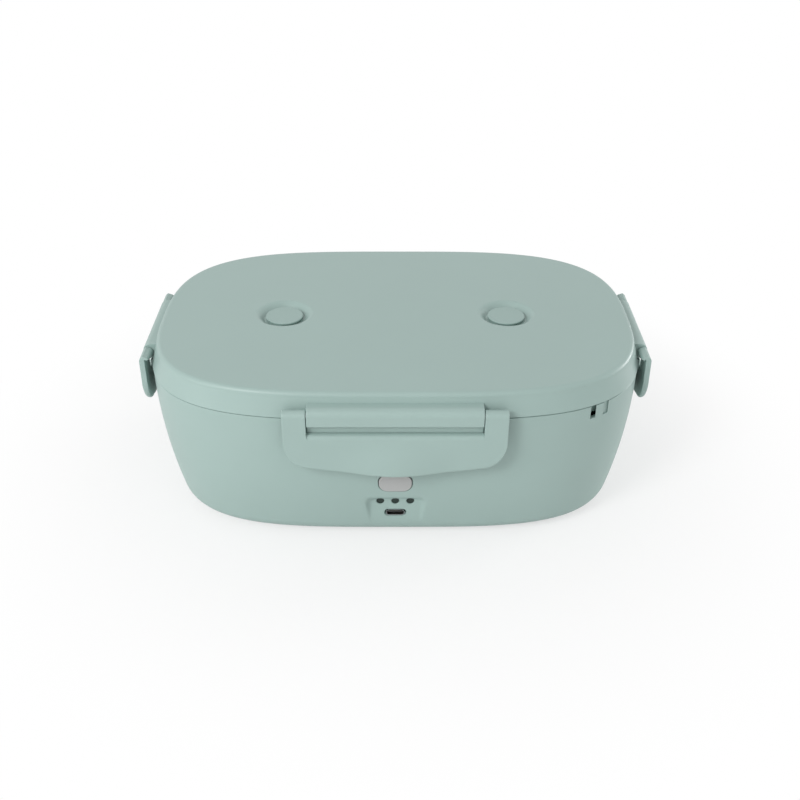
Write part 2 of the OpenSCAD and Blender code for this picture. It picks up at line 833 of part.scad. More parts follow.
// Control board beside the cells, on standoffs of the bottom cover
board_z = cover_top_z + 5;
board_top = board_z + board_t;
board_x = [cell_n * cell_pitch / 2 + 3.4, lid_w / 2 - base_in - 6];
board_mid = (board_x[0] + board_x[1]) / 2;
board_w = board_x[1] - board_x[0];
board_half = 30;
board_head_r = 1.8;
screw_row = board_half - 4;
standoff_r = 2.4;
standoffs = [for (x = [board_x[0] + 3.4, board_x[1] - 3.4], y = [-1, 1]) [x, y * screw_row]];
module control_board() {
    color(board_colour)
        difference() {
            translate([board_x[0], -board_half, board_z])
                cube([board_w, 2 * board_half, board_t]);
            for (p = standoffs)
                translate([p[0], p[1], board_z - 1])
                    cylinder(h = board_t + 2, r = board_screw_r + 0.2, $fn = fine);
        }
}

// A box that stands on the control board, centred on a point
module on_board(x, y, size) {
    translate([x - size[0] / 2, y - size[1] / 2, board_top])
        cube(size);
}

module control_chip() {
    color(dark_colour)
        on_board(board_mid, -9, [9, 9, 1.4]);
}

module power_inductor() {
    color("dimgray")
        on_board(board_mid, 8, [12, 12, 6]);
}

capacitor_r = 4;
module capacitors() {
    color("slategray")
        for (x = [-1, 1])
            translate([board_mid + x * (capacitor_r + 1.2), capacitor_y, board_top])
                cylinder(h = 10, r = capacitor_r, $fn = fine);
}
capacitor_y = screw_row - board_head_r - capacitor_r - 1;

socket_size = [0.24 * board_w, 6, 4.5];
socket_xs = [for (k = [-1, 0, 1]) k * 0.28 * board_w];
socket_y = -(screw_row - board_head_r - socket_size[1] / 2 - 1);
module board_sockets() {
    color("white")
        for (x = socket_xs)
            on_board(board_mid + x, socket_y, socket_size);
}

module board_screws() {
    color(steel_colour) {
        for (p = standoffs)
            translate([p[0], p[1], board_top])
                screw_down();
        for (x = [-post_x, post_x], z = post_zs)
            translate([x, board_y + board_t, z])
                rotate([-90, 0, 0])
                    screw_down();
    }
}
module screw_down() {
    cylinder(h = 1, r = board_head_r, $fn = fine);
    translate([0, 0, -board_t - 3])
        cylinder(h = board_t + 3, r = board_screw_r - press_gap, $fn = fine);
}

module port_board() {
    color(board_colour)
        difference() {
            translate([-port_board_half, board_y, port_board_low])
                cube([2 * port_board_half, board_t, port_board_top - port_board_low]);
            for (x = [-post_x, post_x], z = post_zs)
                translate([x, 0, z])
                    along_y(board_y - 1, board_y + board_t + 1)
                        circle(board_screw_r + 0.2, $fn = fine);
        }
}

// Charging socket: a metal shell round a tongue
socket_w = 8.94;
socket_h = 3.2;
socket_wall = 0.3;
module port_socket() {
    front = floor_y + 0.7;
    color(steel_colour)
        translate([0, 0, port_z]) {
            difference() {
                along_y(front, board_y)
                    round_box_2d(socket_w, socket_h, socket_h / 2 - eps);
                along_y(front - 1, board_y - 0.8)
                    round_box_2d(
                        socket_w - 2 * socket_wall, socket_h - 2 * socket_wall,
                        socket_h / 2 - socket_wall - eps
                    );
            }
            along_y(front + 0.8, board_y - 0.4)
                square([6.6, 0.7], center = true);
        }
}

module charge_leds() {
    color("honeydew")
        for (x = [-1, 0, 1])
            translate([x * light_pitch - 1, board_y - 0.8, light_z - 0.7])
                cube([2, 0.8, 1.4]);
}

// Light pipes: a rod in each hole with a collar behind the wall
module light_pipes() {
    color(dark_colour)
        for (x = [-1, 0, 1])
            translate([x * light_pitch, 0, light_z]) {
                along_y(floor_y + 0.5, board_y - 1.1)
                    circle(light_r - press_gap, $fn = fine);
                along_y(block_y + press_gap, block_y + 0.8)
                    circle(light_r + 0.7, $fn = fine);
            }
}

plunger_r = 1.6;
plunger_out = 1;
module button_switch() {
    color(dark_colour)
        difference() {
            translate([-3, board_y - switch_h, button_z - 3])
                cube([6, switch_h, 6]);
            translate([0, 0, button_z])
                along_y(board_y - switch_h - 1, board_y - switch_h + plunger_out + 0.4)
                    circle(plunger_r + pin_gap, $fn = fine);
        }
}

module switch_plunger() {
    color("goldenrod")
        translate([0, 0, button_z])
            along_y(board_y - switch_h - plunger_out, board_y - switch_h + 0.3)
                circle(plunger_r, $fn = fine);
}

module power_button() {
    outer = front_y(button_z, 0) - button_out;
    stem_end = board_y - switch_h - plunger_out;
    color([0.68, 0.69, 0.69])
        difference() {
            union() {
                along_y(outer - 2, flange_y + eps)
                    button_2d(0);
                along_y(flange_y, flange_y + flange_t)
                    button_2d(flange_lap);
                translate([0, 0, button_z])
                    along_y(flange_y + flange_t - eps, stem_end)
                        circle(2.4, $fn = fine);
            }
            translate([0, outer, button_z])
                rotate([wall_slope(button_z), 0, 0])
                    translate([-20, -20, -20])
                        cube([40, 20, 40]);
        }
}
// The angle by which the wall faces down at a height
function wall_slope(z) = atan(2 * shell_lean * (seam_z - z) / pow(shell_h, 2));

// Wires inside the base, chosen by hand between their two ends
socket_top = board_top + socket_size[2];
wire_r = 0.8;
module heater_leads() {
    color("firebrick")
        for (dx = [0, 2.2])
            wire([
                [lead_x - 1.1 + dx, 11, heater_z],
                [lead_x - 1.1 + dx, 11, pad_z - 2],
                [board_mid - 1.1 + dx, 2, pad_z - 4],
                [board_mid - 1.1 + dx, socket_y, pad_z - 4],
                [board_mid - 1.1 + dx, socket_y, socket_top]
            ], wire_r);
}

module sensor_lead() {
    color("gold")
        wire([
            [3.6 + sensor_r, 0, well_z - 1.9],
            [lead_x, 0, well_z - 1.9],
            [lead_x, 0, pad_z - 2],
            [board_mid + socket_xs[2], socket_y, pad_z - 6],
            [board_mid + socket_xs[2], socket_y, socket_top]
        ], wire_r);
}

module battery_leads() {
    start_x = cell_xs[cell_n - 1];
    color("black")
        for (dx = [0, 2.2])
            wire([
                [start_x + dx, cell_front - link_t, cell_z],
                [start_x + dx, cell_front - 5, cell_z],
                [board_mid + socket_xs[0] - 1.1 + dx, socket_y - 10, cell_z],
                [board_mid + socket_xs[0] - 1.1 + dx, socket_y, cell_z + 3],
                [board_mid + socket_xs[0] - 1.1 + dx, socket_y, socket_top]
            ], wire_r);
}

module port_lead() {
    color("gray")
        wire([
            [post_x / 2, board_y + board_t, port_board_low + 4],
            [post_x / 2, board_y + board_t + 4, port_board_low + 4],
            [2.2 * post_x, board_y + 14, port_board_low + 3],
            [board_mid, socket_y - 16, board_top + 6],
            [board_mid, socket_y - socket_size[1] / 2 - 3, board_top + 2],
            [board_mid, socket_y - socket_size[1] / 2, board_top + 2]
        ], wire_r);
}

// Lid: the shell with its bars, the bowls of the vents, and the liner
vent_floor_z = lid_top_z - vent_bowl_h;
vent_boss_r = vent_stem_r + 1.8;
module lid_shell() {
    lean_top = lid_top_z - lid_edge_r;
    function lid_in(z) = lid_lean * (z - seam_z) / (lean_top - seam_z);
    inner_z = lid_top_z - lid_wall;
    inner_r = 1.5;
    chain = concat(
        [[lid_lean + lid_wall + inner_r, inner_z]],
        [[lid_in(inner_z - inner_r) + lid_wall, inner_z - inner_r]],
        [[lid_wall, lid_rim_z], [0.3, lid_rim_z], [0, lid_rim_z + 0.4]],
        [for (k = [0:5]) let (a = 18 * k)
            [lid_lean + lid_edge_r * (1 - cos(a)), lean_top + lid_edge_r * sin(a)]]
    );
    color(shell_colour)
        difference() {
            union() {
                cup(chain);
                for (s = sides)
                    on_side(s[0], s[1])
                        bar(s[2], s[3]);
                for (x = [-vent_x, vent_x])
                    translate([x, 0, 0]) {
                        translate([0, 0, vent_floor_z - lid_wall])
                            cylinder(h = vent_bowl_h + eps, r = vent_bowl_r, $fn = fine);
                        translate([0, 0, liner_z + liner_t])
                            cylinder(h = vent_floor_z - liner_z - liner_t - 1, r = vent_boss_r, $fn = fine);
                    }
            }
            for (s = sides)
                on_side(s[0], s[1])
                    pin_hole(s[2]);
            for (x = [-vent_x, vent_x])
                translate([x, 0, 0]) {
                    translate([0, 0, vent_floor_z])
                        cylinder(h = vent_bowl_h, r1 = vent_floor_r, r2 = vent_bowl_r, $fn = fine);
                    translate([0, 0, lid_top_z - eps])
                        cylinder(h = 2, r = vent_bowl_r, $fn = fine);
                    cylinder(h = 200, r = vent_stem_r + fit_gap, $fn = fine);
                }
        }
}

// Liner: a plate with two ribs that hold the seal between them
seal_in = [8.8, 12.4];
seal_rib_t = 1.2;
seal_rib_h = 1.2;
module ring_wall(from, to, z, h) {
    translate([0, 0, z])
        linear_extrude(h)
            difference() {
                polygon(outline(from));
                polygon(outline(to));
            }
}
module lid_liner() {
    edge = lid_wall + lid_lean * (liner_up + liner_t) / (lid_h - lid_edge_r) + 0.1;
    color(shell_colour)
        difference() {
            union() {
                plate(edge, liner_z, liner_t);
                ring_wall(
                    seal_in[0] - fit_gap - seal_rib_t, seal_in[0] - fit_gap,
                    liner_z - seal_rib_h, seal_rib_h + eps
                );
                ring_wall(
                    seal_in[1] + fit_gap, seal_in[1] + fit_gap + seal_rib_t,
                    liner_z - seal_rib_h, seal_rib_h + eps
                );
            }
            for (x = [-vent_x, vent_x])
                translate([x, 0, liner_z - 5])
                    cylinder(h = 20, r = vent_stem_r + 0.5, $fn = fine);
        }
}

module lid_seal() {
    low = dish_flange_z + dish_t + run_gap;
    color(seal_colour)
        ring_wall(seal_in[0], seal_in[1], low, liner_z - low);
}

module clip_pins() {
    color(steel_colour)
        for (s = sides)
            on_side(s[0], s[1])
                pin(s[2]);
}

module clip_front() {
    color(shell_colour)
        on_side(sides[0][0], sides[0][1])
            clip(sides[0][2], sides[0][4], sides[0][5]);
}
module clip_rear() {
    color(shell_colour)
        on_side(sides[1][0], sides[1][1])
            clip(sides[1][2], sides[1][4], sides[1][5]);
}
module clip_left() {
    color(shell_colour)
        on_side(sides[2][0], sides[2][1])
            clip(sides[2][2], sides[2][4], sides[2][5]);
}
module clip_right() {
    color(shell_colour)
        on_side(sides[3][0], sides[3][1])
            clip(sides[3][2], sides[3][4], sides[3][5]);
}

// A vent plug: a cap in the bowl, a stem, and a stop below the liner
stop_t = 1.2;
split_w = 2;
module vent_plug(x) {
    stop_z = liner_z - vent_lift - run_gap - stop_t;
    color(shell_colour)
        translate([x, 0, 0])
            difference() {
                union() {
                    translate([0, 0, vent_floor_z])
                        cylinder(h = vent_cap_h - 0.4, r = vent_cap_r, $fn = fine);
                    translate([0, 0, vent_floor_z + vent_cap_h - 0.4])
                        cylinder(h = 0.4, r1 = vent_cap_r, r2 = vent_cap_r - 0.4, $fn = fine);
                    translate([0, 0, stop_z])
                        cylinder(h = vent_floor_z - stop_z, r = vent_stem_r, $fn = fine);
                    translate([0, 0, stop_z])
                        cylinder(h = stop_t, r = vent_stem_r + 1.6, $fn = fine);
                }
                translate([-split_w / 2, -vent_cap_r, stop_z + stop_t])
                    cube([split_w, 2 * vent_cap_r, vent_floor_z - stop_z - stop_t - 1.5]);
            }
}
module vent_plug_left() {
    vent_plug(-vent_x);
}
module vent_plug_right() {
    vent_plug(vent_x);
}

housing_shell();
bottom_cover();
cover_screws();
rubber_feet();
heating_well();
heater_mat();
insulation_pad();
temperature_sensor();
thermal_fuse();
battery_tray();
battery_cells();
cell_links();
control_board();
control_chip();
power_inductor();
capacitors();
board_sockets();
board_screws();
port_board();
port_socket();
charge_leds();
light_pipes();
button_switch();
heater_leads();
sensor_lead();
battery_leads();
port_lead();
power_button();
switch_plunger();
inner_dish();
lid_shell();
lid_liner();
lid_seal();
clip_pins();
clip_front();
clip_rear();
clip_left();
clip_right();
vent_plug_left();
vent_plug_right();
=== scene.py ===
# %% [markdown]
# # A heated lunch box with a lift-off lid
# The box is two pale grey-green mouldings, an oval housing and a lid, held
# together by four hinged clips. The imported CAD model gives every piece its
# place and size. This script dresses it: it rebuilds the shells that show as
# smooth surfaces from the same outline, and gives each piece its finish.

# %% Load the frame
import math
from collections import namedtuple

import bmesh
import bpy
import numpy as np
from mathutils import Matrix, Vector


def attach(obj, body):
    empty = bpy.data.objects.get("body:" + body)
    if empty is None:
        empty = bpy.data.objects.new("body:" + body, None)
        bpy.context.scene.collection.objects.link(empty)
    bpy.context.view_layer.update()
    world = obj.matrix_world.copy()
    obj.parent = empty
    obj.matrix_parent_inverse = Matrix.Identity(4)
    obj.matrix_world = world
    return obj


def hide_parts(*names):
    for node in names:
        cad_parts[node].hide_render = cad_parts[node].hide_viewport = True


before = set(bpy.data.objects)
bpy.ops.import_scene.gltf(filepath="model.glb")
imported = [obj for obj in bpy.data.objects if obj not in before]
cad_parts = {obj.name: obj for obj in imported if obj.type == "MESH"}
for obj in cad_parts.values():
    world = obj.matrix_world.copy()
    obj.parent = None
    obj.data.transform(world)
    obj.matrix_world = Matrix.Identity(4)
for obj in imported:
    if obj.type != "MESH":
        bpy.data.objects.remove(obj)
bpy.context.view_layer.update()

MM = 0.001

# %% [markdown]
# ## Sums on sockets
# Materials here are small sums of textures. They could be wired node by node,
# but that hides the idea behind the wiring. One class wraps a socket, so that
# `0.4 + 0.1 * noise` adds the Math nodes by itself, and one method makes any
# other node from its settings and the values of its sockets.

# %% A socket that can be used in sums
class Socket:
    def __init__(self, tree, out=None):
        self.tree, self.out = tree, out

    def node(self, kind, settings=None, values=None, out=0):
        made = self.tree.nodes.new(kind)
        for key, value in (settings or {}).items():
            if key == "stops":
                ramp = made.color_ramp
                while len(ramp.elements) < len(value):
                    ramp.elements.new(0.5)
                for element, (place, colour) in zip(ramp.elements, value):
                    element.position, element.color = place, colour
            else:
                setattr(made, key, value)
        for key, value in (values or {}).items():
            if isinstance(value, Socket):
                self.tree.links.new(value.out, made.inputs[key])
            else:
                made.inputs[key].default_value = value
        return Socket(self.tree, made.outputs[out])

    def sum(self, operation, a, b):
        return self.node("ShaderNodeMath", {"operation": operation}, {0: a, 1: b})

    def __add__(self, other):
        return self.sum("ADD", self, other)

    __radd__ = __add__

    def __sub__(self, other):
        return self.sum("SUBTRACT", self, other)

    def __rsub__(self, other):
        return self.sum("SUBTRACT", other, self)

    def __mul__(self, other):
        return self.sum("MULTIPLY", self, other)

    __rmul__ = __mul__

    def __gt__(self, other):
        return self.sum("GREATER_THAN", self, other)

    def mixed(self, colour_a, colour_b):
        values = {0: self, 6: colour_a, 7: colour_b}
        return self.node("ShaderNodeMix", {"data_type": "RGBA"}, values, out=2)

    def stretched(self, x, y, z):
        values = {0: self, 1: (x, y, z)}
        return self.node("ShaderNodeVectorMath", {"operation": "MULTIPLY"}, values)

    def noise(self, scale, detail, roughness):
        values = {"Vector": self, "Scale": scale, "Detail": detail, "Roughness": roughness}
        return self.node("ShaderNodeTexNoise", None, values)

    def bump(self, height, distance, strength):
        values = {"Height": height, "Distance": distance, "Strength": strength}
        return self.node("ShaderNodeBump", None, values)


print("sums on sockets are ready")

# %% [markdown]
# ## A finish
# Every finish starts as one Principled shader. Numbers that are the same all
# over the surface are set straight on the shader, and what varies is linked.
# Textures are measured in metres on the object itself, so a scale of 1000 is
# a pattern of about a millimetre.

# %% Start and end of a finish
def finish_start(name):
    material = bpy.data.materials.new(name)
    material.use_nodes = True
    tree = material.node_tree
    tree.nodes.clear()
    place = Socket(tree).node("ShaderNodeTexCoord", out=3)
    return material, place


def finish_end(material, place, **inputs):
    names = {key: key.replace("_", " ").title() for key in inputs}
    names["specular"] = "Specular IOR Level"
    values = {names[key]: value for key, value in inputs.items()}
    shader = place.node("ShaderNodeBsdfPrincipled", None, values)
    output = place.tree.nodes.new("ShaderNodeOutputMaterial")
    place.tree.links.new(shader.out, output.inputs["Surface"])
    material.diffuse_color = (0.5, 0.5, 0.5, 1)
    return material


def plastic(name, colour, rough, grain=0.3):
    """A satin moulding: a fine spark-eroded grain and a faint unevenness."""
    material, place = finish_start(name)
    fine = place.noise(2600.0, 2.0, 0.6)
    broad = place.noise(18.0, 3.0, 0.55)
    deep = tuple(0.955 * c for c in colour) + (1.0,)
    light = tuple(min(1.0, 1.03 * c) for c in colour) + (1.0,)
    return finish_end(
        material, place,
        base_color=broad.mixed(deep, light),
        roughness=rough - 0.06 + 0.08 * broad + 0.05 * fine,
        specular=0.5,
        normal=place.bump(fine, 0.00002, grain),
    )


SHELL = (0.326, 0.439, 0.411)
shell_finish = plastic("shell_plastic", SHELL, 0.4)
print("made", shell_finish.name)

# %% [markdown]
# ## The outline
# Seen from above the box is a superellipse: squarer than an ellipse, rounder
# than a rectangle. It could be drawn with Bezier handles, but the formula also
# gives the exact outward direction, so any inner or outer parallel line is a
# plain step along it. The points are spread evenly along the edge, and closer
# where the port pocket needs detail.

# %% Points along the rim
HALF_W, HALF_D = 120.0, 81.5
POWER_W, POWER_D = 3.58, 2.86
RIM_STEP, CLOSE_STEP, CLOSE_HALF = 2.4, 0.42, 21.0


def rim_at(turn):
    """Points of the rim in the directions turn, in radians, by halving."""
    low, high = np.full(len(turn), 10.0), np.full(len(turn), 200.0)
    for _ in range(60):
        mid = (low + high) / 2
        x, y = np.abs(mid * np.cos(turn)) / HALF_W, np.abs(mid * np.sin(turn)) / HALF_D
        outside = x**POWER_W + y**POWER_D > 1
        high, low = np.where(outside, mid, high), np.where(outside, low, mid)
    return np.stack([low * np.cos(turn), low * np.sin(turn)], 1)


def out_from(rim):
    x, y = rim[:, 0] / HALF_W, rim[:, 1] / HALF_D
    gx = POWER_W / HALF_W * np.sign(x) * np.abs(x) ** (POWER_W - 1)
    gy = POWER_D / HALF_D * np.sign(y) * np.abs(y) ** (POWER_D - 1)
    out = np.stack([gx, gy], 1)
    return out / np.linalg.norm(out, axis=1)[:, None]


def spread_rim(step, fine_step=None, fine_half=0.0):
    """The rim and its outward directions, a step apart, finer near the front's middle."""
    turn = np.linspace(0, 2 * np.pi, 20001)
    line = rim_at(turn)
    length = np.concatenate([[0], np.cumsum(np.linalg.norm(np.diff(line, axis=0), axis=1))])
    front = length[np.argmin(np.abs(turn - 1.5 * np.pi))]
    if fine_step:
        around = length[-1] - 2 * fine_half
        coarse = np.linspace(fine_half, fine_half + around, max(8, round(around / step)) + 1)[:-1]
        close = np.linspace(-fine_half, fine_half, round(2 * fine_half / fine_step) + 1)[:-1]
        places = (front + np.concatenate([close, coarse])) % length[-1]
    else:
        places = np.linspace(0, length[-1], round(length[-1] / step) + 1)[:-1]
    points = rim_at(np.interp(places, length, turn))
    return points, out_from(points)


plain_rim = spread_rim(RIM_STEP)
print("rim points:", len(plain_rim[0]))

# %% [markdown]
# ## Lofts
# A shell of this kind is a stack of rings, each at its own inset and height.
# Blender's own bevels could round a rough block, but rings from a formula keep
# every fillet at its real radius. A helper joins the rings with quads, closes
# the ends, smooths the shading and keeps the truly sharp edges sharp.

# %% Rings, faces and objects
def level(rim, inset, z):
    points, out = rim
    flat = points - inset * out
    return np.column_stack([flat, np.full(len(flat), z)])


def loft(rings, loop=False):
    """Points and faces of a stack of equal rings."""
    n, count = len(rings[0]), len(rings)
    k = np.arange(n)
    m = (k + 1) % n
    faces = []
    for j in range(count if loop else count - 1):
        a, b = j * n, ((j + 1) % count) * n
        faces += np.stack([a + k, a + m, b + m, b + k], 1).tolist()
    if not loop:
        faces.append(list(range(n))[::-1])
        faces.append([(count - 1) * n + i for i in range(n)])
    return np.concatenate(rings), faces


def faced_out(mesh):
    """Turns every face outwards."""
    work = bmesh.new()
    work.from_mesh(mesh)
    bmesh.ops.recalc_face_normals(work, faces=work.faces)
    work.to_mesh(mesh)
    work.free()


def solid(name, points, faces):
    mesh = bpy.data.meshes.new(name)
    mesh.from_pydata((np.asarray(points) * MM).tolist(), [], faces)
    faced_out(mesh)
    made = bpy.data.objects.new(name, mesh)
    bpy.context.scene.collection.objects.link(made)
    return made


def baked(made):
    """Applies an object's modifiers to its mesh."""
    graph = bpy.context.evaluated_depsgraph_get()
    mesh = bpy.data.meshes.new_from_object(made.evaluated_get(graph))
    made.modifiers.clear()
    made.data = mesh


def cut_out(made, *cutters):
    """Takes the cutters out of an object, and removes them."""
    for cutter in cutters:
        step = made.modifiers.new("cut", "BOOLEAN")
        step.operation, step.solver, step.object = "DIFFERENCE", "EXACT", cutter
    baked(made)
    for cutter in cutters:
        bpy.data.objects.remove(cutter)


def joined(name, *parts):
    """One object from several that overlap."""
    whole = bmesh.new()
    for part in parts:
        whole.from_mesh(part.data)
        bpy.data.objects.remove(part)
    mesh = bpy.data.meshes.new(name)
    whole.to_mesh(mesh)
    whole.free()
    made = bpy.data.objects.new(name, mesh)
    bpy.context.scene.collection.objects.link(made)
    return made


SHARP_FROM = math.radians(38)


def dress(made, body, finish, slot_name, *nodes):
    """Shading, finish, body and the CAD nodes that a piece stands for."""
    faced_out(made.data)
    made.data.polygons.foreach_set("use_smooth", [True] * len(made.data.polygons))
    made.data.set_sharp_from_angle(angle=SHARP_FROM)
    even = made.modifiers.new("even_shading", "WEIGHTED_NORMAL")
    even.keep_sharp, even.weight = True, 90
    made.data.materials.clear()
    made.data.materials.append(finish)
    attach(made, body)
    if nodes:
        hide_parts(*nodes)
    print(made.name, len(made.data.polygons), "faces, on", body)


print("lofts, cuts and joins are ready")

# %% [markdown]
# ## Outlines with rounded corners
# Bars, ribs and clip ears are prisms. A short list of corners, each with its
# radius, describes one well, and the prism's own ends are rounded by drawing
# the outline in a little over the last fraction of a millimetre.

# %% Rounded outlines and prisms
def arc(cx, cy, r, start, end, steps):
    turn = np.radians(np.linspace(start, end, steps + 1))
    return [(cx + r * math.cos(t), cy + r * math.sin(t)) for t in turn]


def rounded(corners, steps):
    """An outline from (x, y, radius) corners."""
    line = []
    for i, (x, y, r) in enumerate(corners):
        p = np.array([x, y])
        if r <= 0:
            line.append(tuple(p))
            continue
        before = np.array(corners[i - 1][:2]) - p
        after = np.array(corners[(i + 1) % len(corners)][:2]) - p
        a, b = before / np.linalg.norm(before), after / np.linalg.norm(after)
        half = math.acos(np.clip(a @ b, -1, 1)) / 2
        centre = p + (a + b) / np.linalg.norm(a + b) * r / math.sin(half)
        start, end = p + a * r / math.tan(half) - centre, p + b * r / math.tan(half) - centre
        from_a, to_a = math.atan2(start[1], start[0]), math.atan2(end[1], end[0])
        turn = (to_a - from_a + math.pi) % (2 * math.pi) - math.pi
        for k in range(steps + 1):
            t = from_a + turn * k / steps
            line.append((centre[0] + r * math.cos(t), centre[1] + r * math.sin(t)))
    return np.array(line)


def drawn_in(line, d):
    """An outline moved inwards by d along its own normals."""
    line = np.asarray(line, float)
    before, after = line - np.roll(line, 1, 0), np.roll(line, -1, 0) - line
    before /= np.linalg.norm(before, axis=1)[:, None]
    after /= np.linalg.norm(after, axis=1)[:, None]
    area = np.sum(line[:, 0] * np.roll(line[:, 1], -1) - line[:, 1] * np.roll(line[:, 0], -1))
    turned = lambda v: np.sign(area) * np.stack([-v[:, 1], v[:, 0]], 1)
    mean = turned(before) + turned(after)
    size = np.sum(mean * mean, 1)
    return line + d * 2 * mean / np.maximum(size, 1.0)[:, None]


def stations(start, end, r, steps=3, inner=2):
    """Places along a prism and how far its outline is drawn in at each."""
    turn = np.linspace(0, math.pi / 2, steps + 1)
    first = [(start + r * (1 - math.cos(t)), r * (1 - math.sin(t))) for t in turn]
    last = [(end - r * (1 - math.cos(t)), r * (1 - math.sin(t))) for t in turn[::-1]]
    middle = [(u, 0.0) for u in np.linspace(start + r, end - r, inner + 1)[1:-1]]
    return first + middle + last


# A clip's own frame is U along its pin, V outwards and W up. The four sides
# of the box give each one its turn and the place of its pin: out is the pin's
# distance from the middle and pin_out its distance outside the rim. half is half
# the clip's width, drop the flap's depth below the seam, and back_r the radius
# of the back of its ears.
PIN_Z = 76.4
Side = namedtuple("Side", "turn out half pin_out drop back_r")
SIDES = {
    "front": Side(-90, 83.7, 50.3, 2.2, 26.0, 2.8),
    "rear": Side(90, 83.7, 50.3, 2.2, 26.0, 2.8),
    "left": Side(180, 120.4, 35.2, 0.4, 24.0, 2.2),
    "right": Side(0, 120.4, 35.2, 0.4, 24.0, 2.2),
}


def on_side(side, uvw):
    """Points of a clip's frame, put on its side of the box."""
    turn = math.radians(SIDES[side].turn)
    cos, sin = math.cos(turn), math.sin(turn)
    u, v, w = np.asarray(uvw, float).T
    x, y = SIDES[side].out + v, -u
    return np.stack([x * cos - y * sin, x * sin + y * cos, PIN_Z + w], 1)


def prism(name, side, outline, start, end, r):
    rings = [
        on_side(side, [(u, v, w) for v, w in drawn_in(outline, d)])
        for u, d in stations(start, end, r)
    ]
    return solid(name, *loft(rings))


print("outlines and prisms are ready")

# %% [markdown]
# ## The housing
# The wall of the housing leans in towards the base along a gentle curve and
# turns under with a wide fillet. The pocket round the charging port is part of
# the moulding, with soft edges, so it isn't cut with a sharp tool: the front
# wall's own points are pushed back to the pocket's floor, and a smooth maximum
# of wall and floor rounds the edges by itself. Holes are cut afterwards.

# %% The profile of the housing
SEAM_Z, BASE_Z, RIM_Z, LEDGE_Z = 72.8, 1.2, 72.6, 70.6
EDGE_R, WALL, BASE_IN = 10.3, 2.2, 22.0
STEP, LEAN, SHELL_H = 0.3, 10.0, 71.6


def wall_in(z):
    """How far the outside of the wall lies within the rim at a height."""
    return STEP + LEAN * ((SEAM_Z - z) / SHELL_H) ** 2


TILT = math.atan(2 * LEAN * (SHELL_H - EDGE_R) / SHELL_H**2)
WALL_LOW = BASE_Z + EDGE_R - EDGE_R * math.sin(TILT)
EDGE_IN = wall_in(WALL_LOW) + EDGE_R * math.cos(TILT)


def edge_points(r, steps):
    turns = np.linspace(0, math.pi / 2 - TILT, steps + 1)
    return [(EDGE_IN - r * math.sin(t), BASE_Z + EDGE_R - r * math.cos(t)) for t in turns]


close_zs = np.arange(WALL_LOW + 0.4, 43.0, CLOSE_STEP)
wide_zs = np.arange(43.5, RIM_Z - 1.0, 2.0)
outer_chain = (
    [(BASE_IN, BASE_Z + WALL), (BASE_IN, BASE_Z + 0.3), (BASE_IN - 0.3, BASE_Z)]
    + edge_points(EDGE_R, 14)
    + [(wall_in(z), z) for z in close_zs]
    + [(wall_in(z), z) for z in wide_zs]
    + [(0.3, RIM_Z - 0.5), (0.35, RIM_Z - 0.25), (0.5, RIM_Z - 0.07), (0.75, RIM_Z)]
)
inner_zs = [66.0, 60.0, 52.0, 44.0, 36.0, 28.0, 20.0, WALL_LOW + 1.0]
inner_chain = (
    [(6.95, RIM_Z), (7.15, RIM_Z - 0.1), (7.2, RIM_Z - 0.3), (7.2, LEDGE_Z)]
    + [(12.4, LEDGE_Z), (12.4, LEDGE_Z - 1.6), (wall_in(67.4) + 3.6, 67.4)]
    + [(wall_in(z) + WALL, z) for z in inner_zs]
    + edge_points(EDGE_R - WALL, 5)[::-1]
)
print("wall from", round(wall_in(WALL_LOW), 2), "to", STEP, "mm in; edge at", round(EDGE_IN, 2))

# %% The port pocket, as a push on the front wall
FLOOR_Y, POCKET_HALF, POCKET_TOP, POCKET_R, STEEP = -73.6, 12.1, 23.8, 3.5, 1.31


def pocket_grow(x, z):
    """How far a point of the front lies outside the pocket's floor."""
    r = POCKET_R
    qx, qz = np.abs(x) - POCKET_HALF + r, z - POCKET_TOP + r
    total = qx + qz
    inside = np.maximum(0, total**2 - 2 * (qx**2 + qz**2 - r**2))
    corner = (total - np.sqrt(inside)) / 2
    return np.where(np.abs(qx - qz) < r, corner, np.maximum(qx, qz) - r)


def pocketed(ring):
    """Pushes the points of a ring that lie in front of the pocket back to its floor."""
    x, y, z = ring.T
    near = (y < 0) & (np.abs(x) < CLOSE_HALF) & (z > 6) & (z < 33)
    grow = pocket_grow(x, z)
    slope = FLOOR_Y - STEEP * (grow + np.sqrt(grow**2 + 0.35)) / 2
    soft = (y + slope + np.sqrt((y - slope) ** 2 + 0.5)) / 2
    ring[:, 1] = np.where(near, soft, y)
    return ring


front_rim = spread_rim(RIM_STEP, CLOSE_STEP, CLOSE_HALF)
rings = [pocketed(level(front_rim, i, z)) for i, z in outer_chain]
for i, z in inner_chain:
    ring = level(front_rim, i, z)
    backed = (ring[:, 1] < 0) & (np.abs(ring[:, 0]) < 18) & (z < 30)
    ring[:, 1] = np.where(backed, np.maximum(ring[:, 1], FLOOR_Y + WALL), ring[:, 1])
    rings.append(ring)
housing = solid("housing_body", *loft(rings, loop=True))
print("housing before its holes:", len(housing.data.polygons), "faces")

# %% [markdown]
# The lights, the port and the button each have their hole, with a small
# chamfer where the real moulding has one. A cutter is a stack of outlines in
# the front plane: wider at the surface, then the true size inside. The two
# slots below the rim on the right are slanted boxes, a deep and a shallow one.

# %% Cut the holes of the front
def plate_outline(w, h, r, steps=8):
    x, z = w / 2, h / 2
    return rounded([(-x, -z, r), (x, -z, r), (x, z, r), (-x, z, r)], steps)


def upright(line, y, z=0.0, x=0.0):
    """An outline stood up facing the front; y is one depth, or one for each point."""
    return np.column_stack([line[:, 0] + x, np.broadcast_to(y, len(line)), line[:, 1] + z])


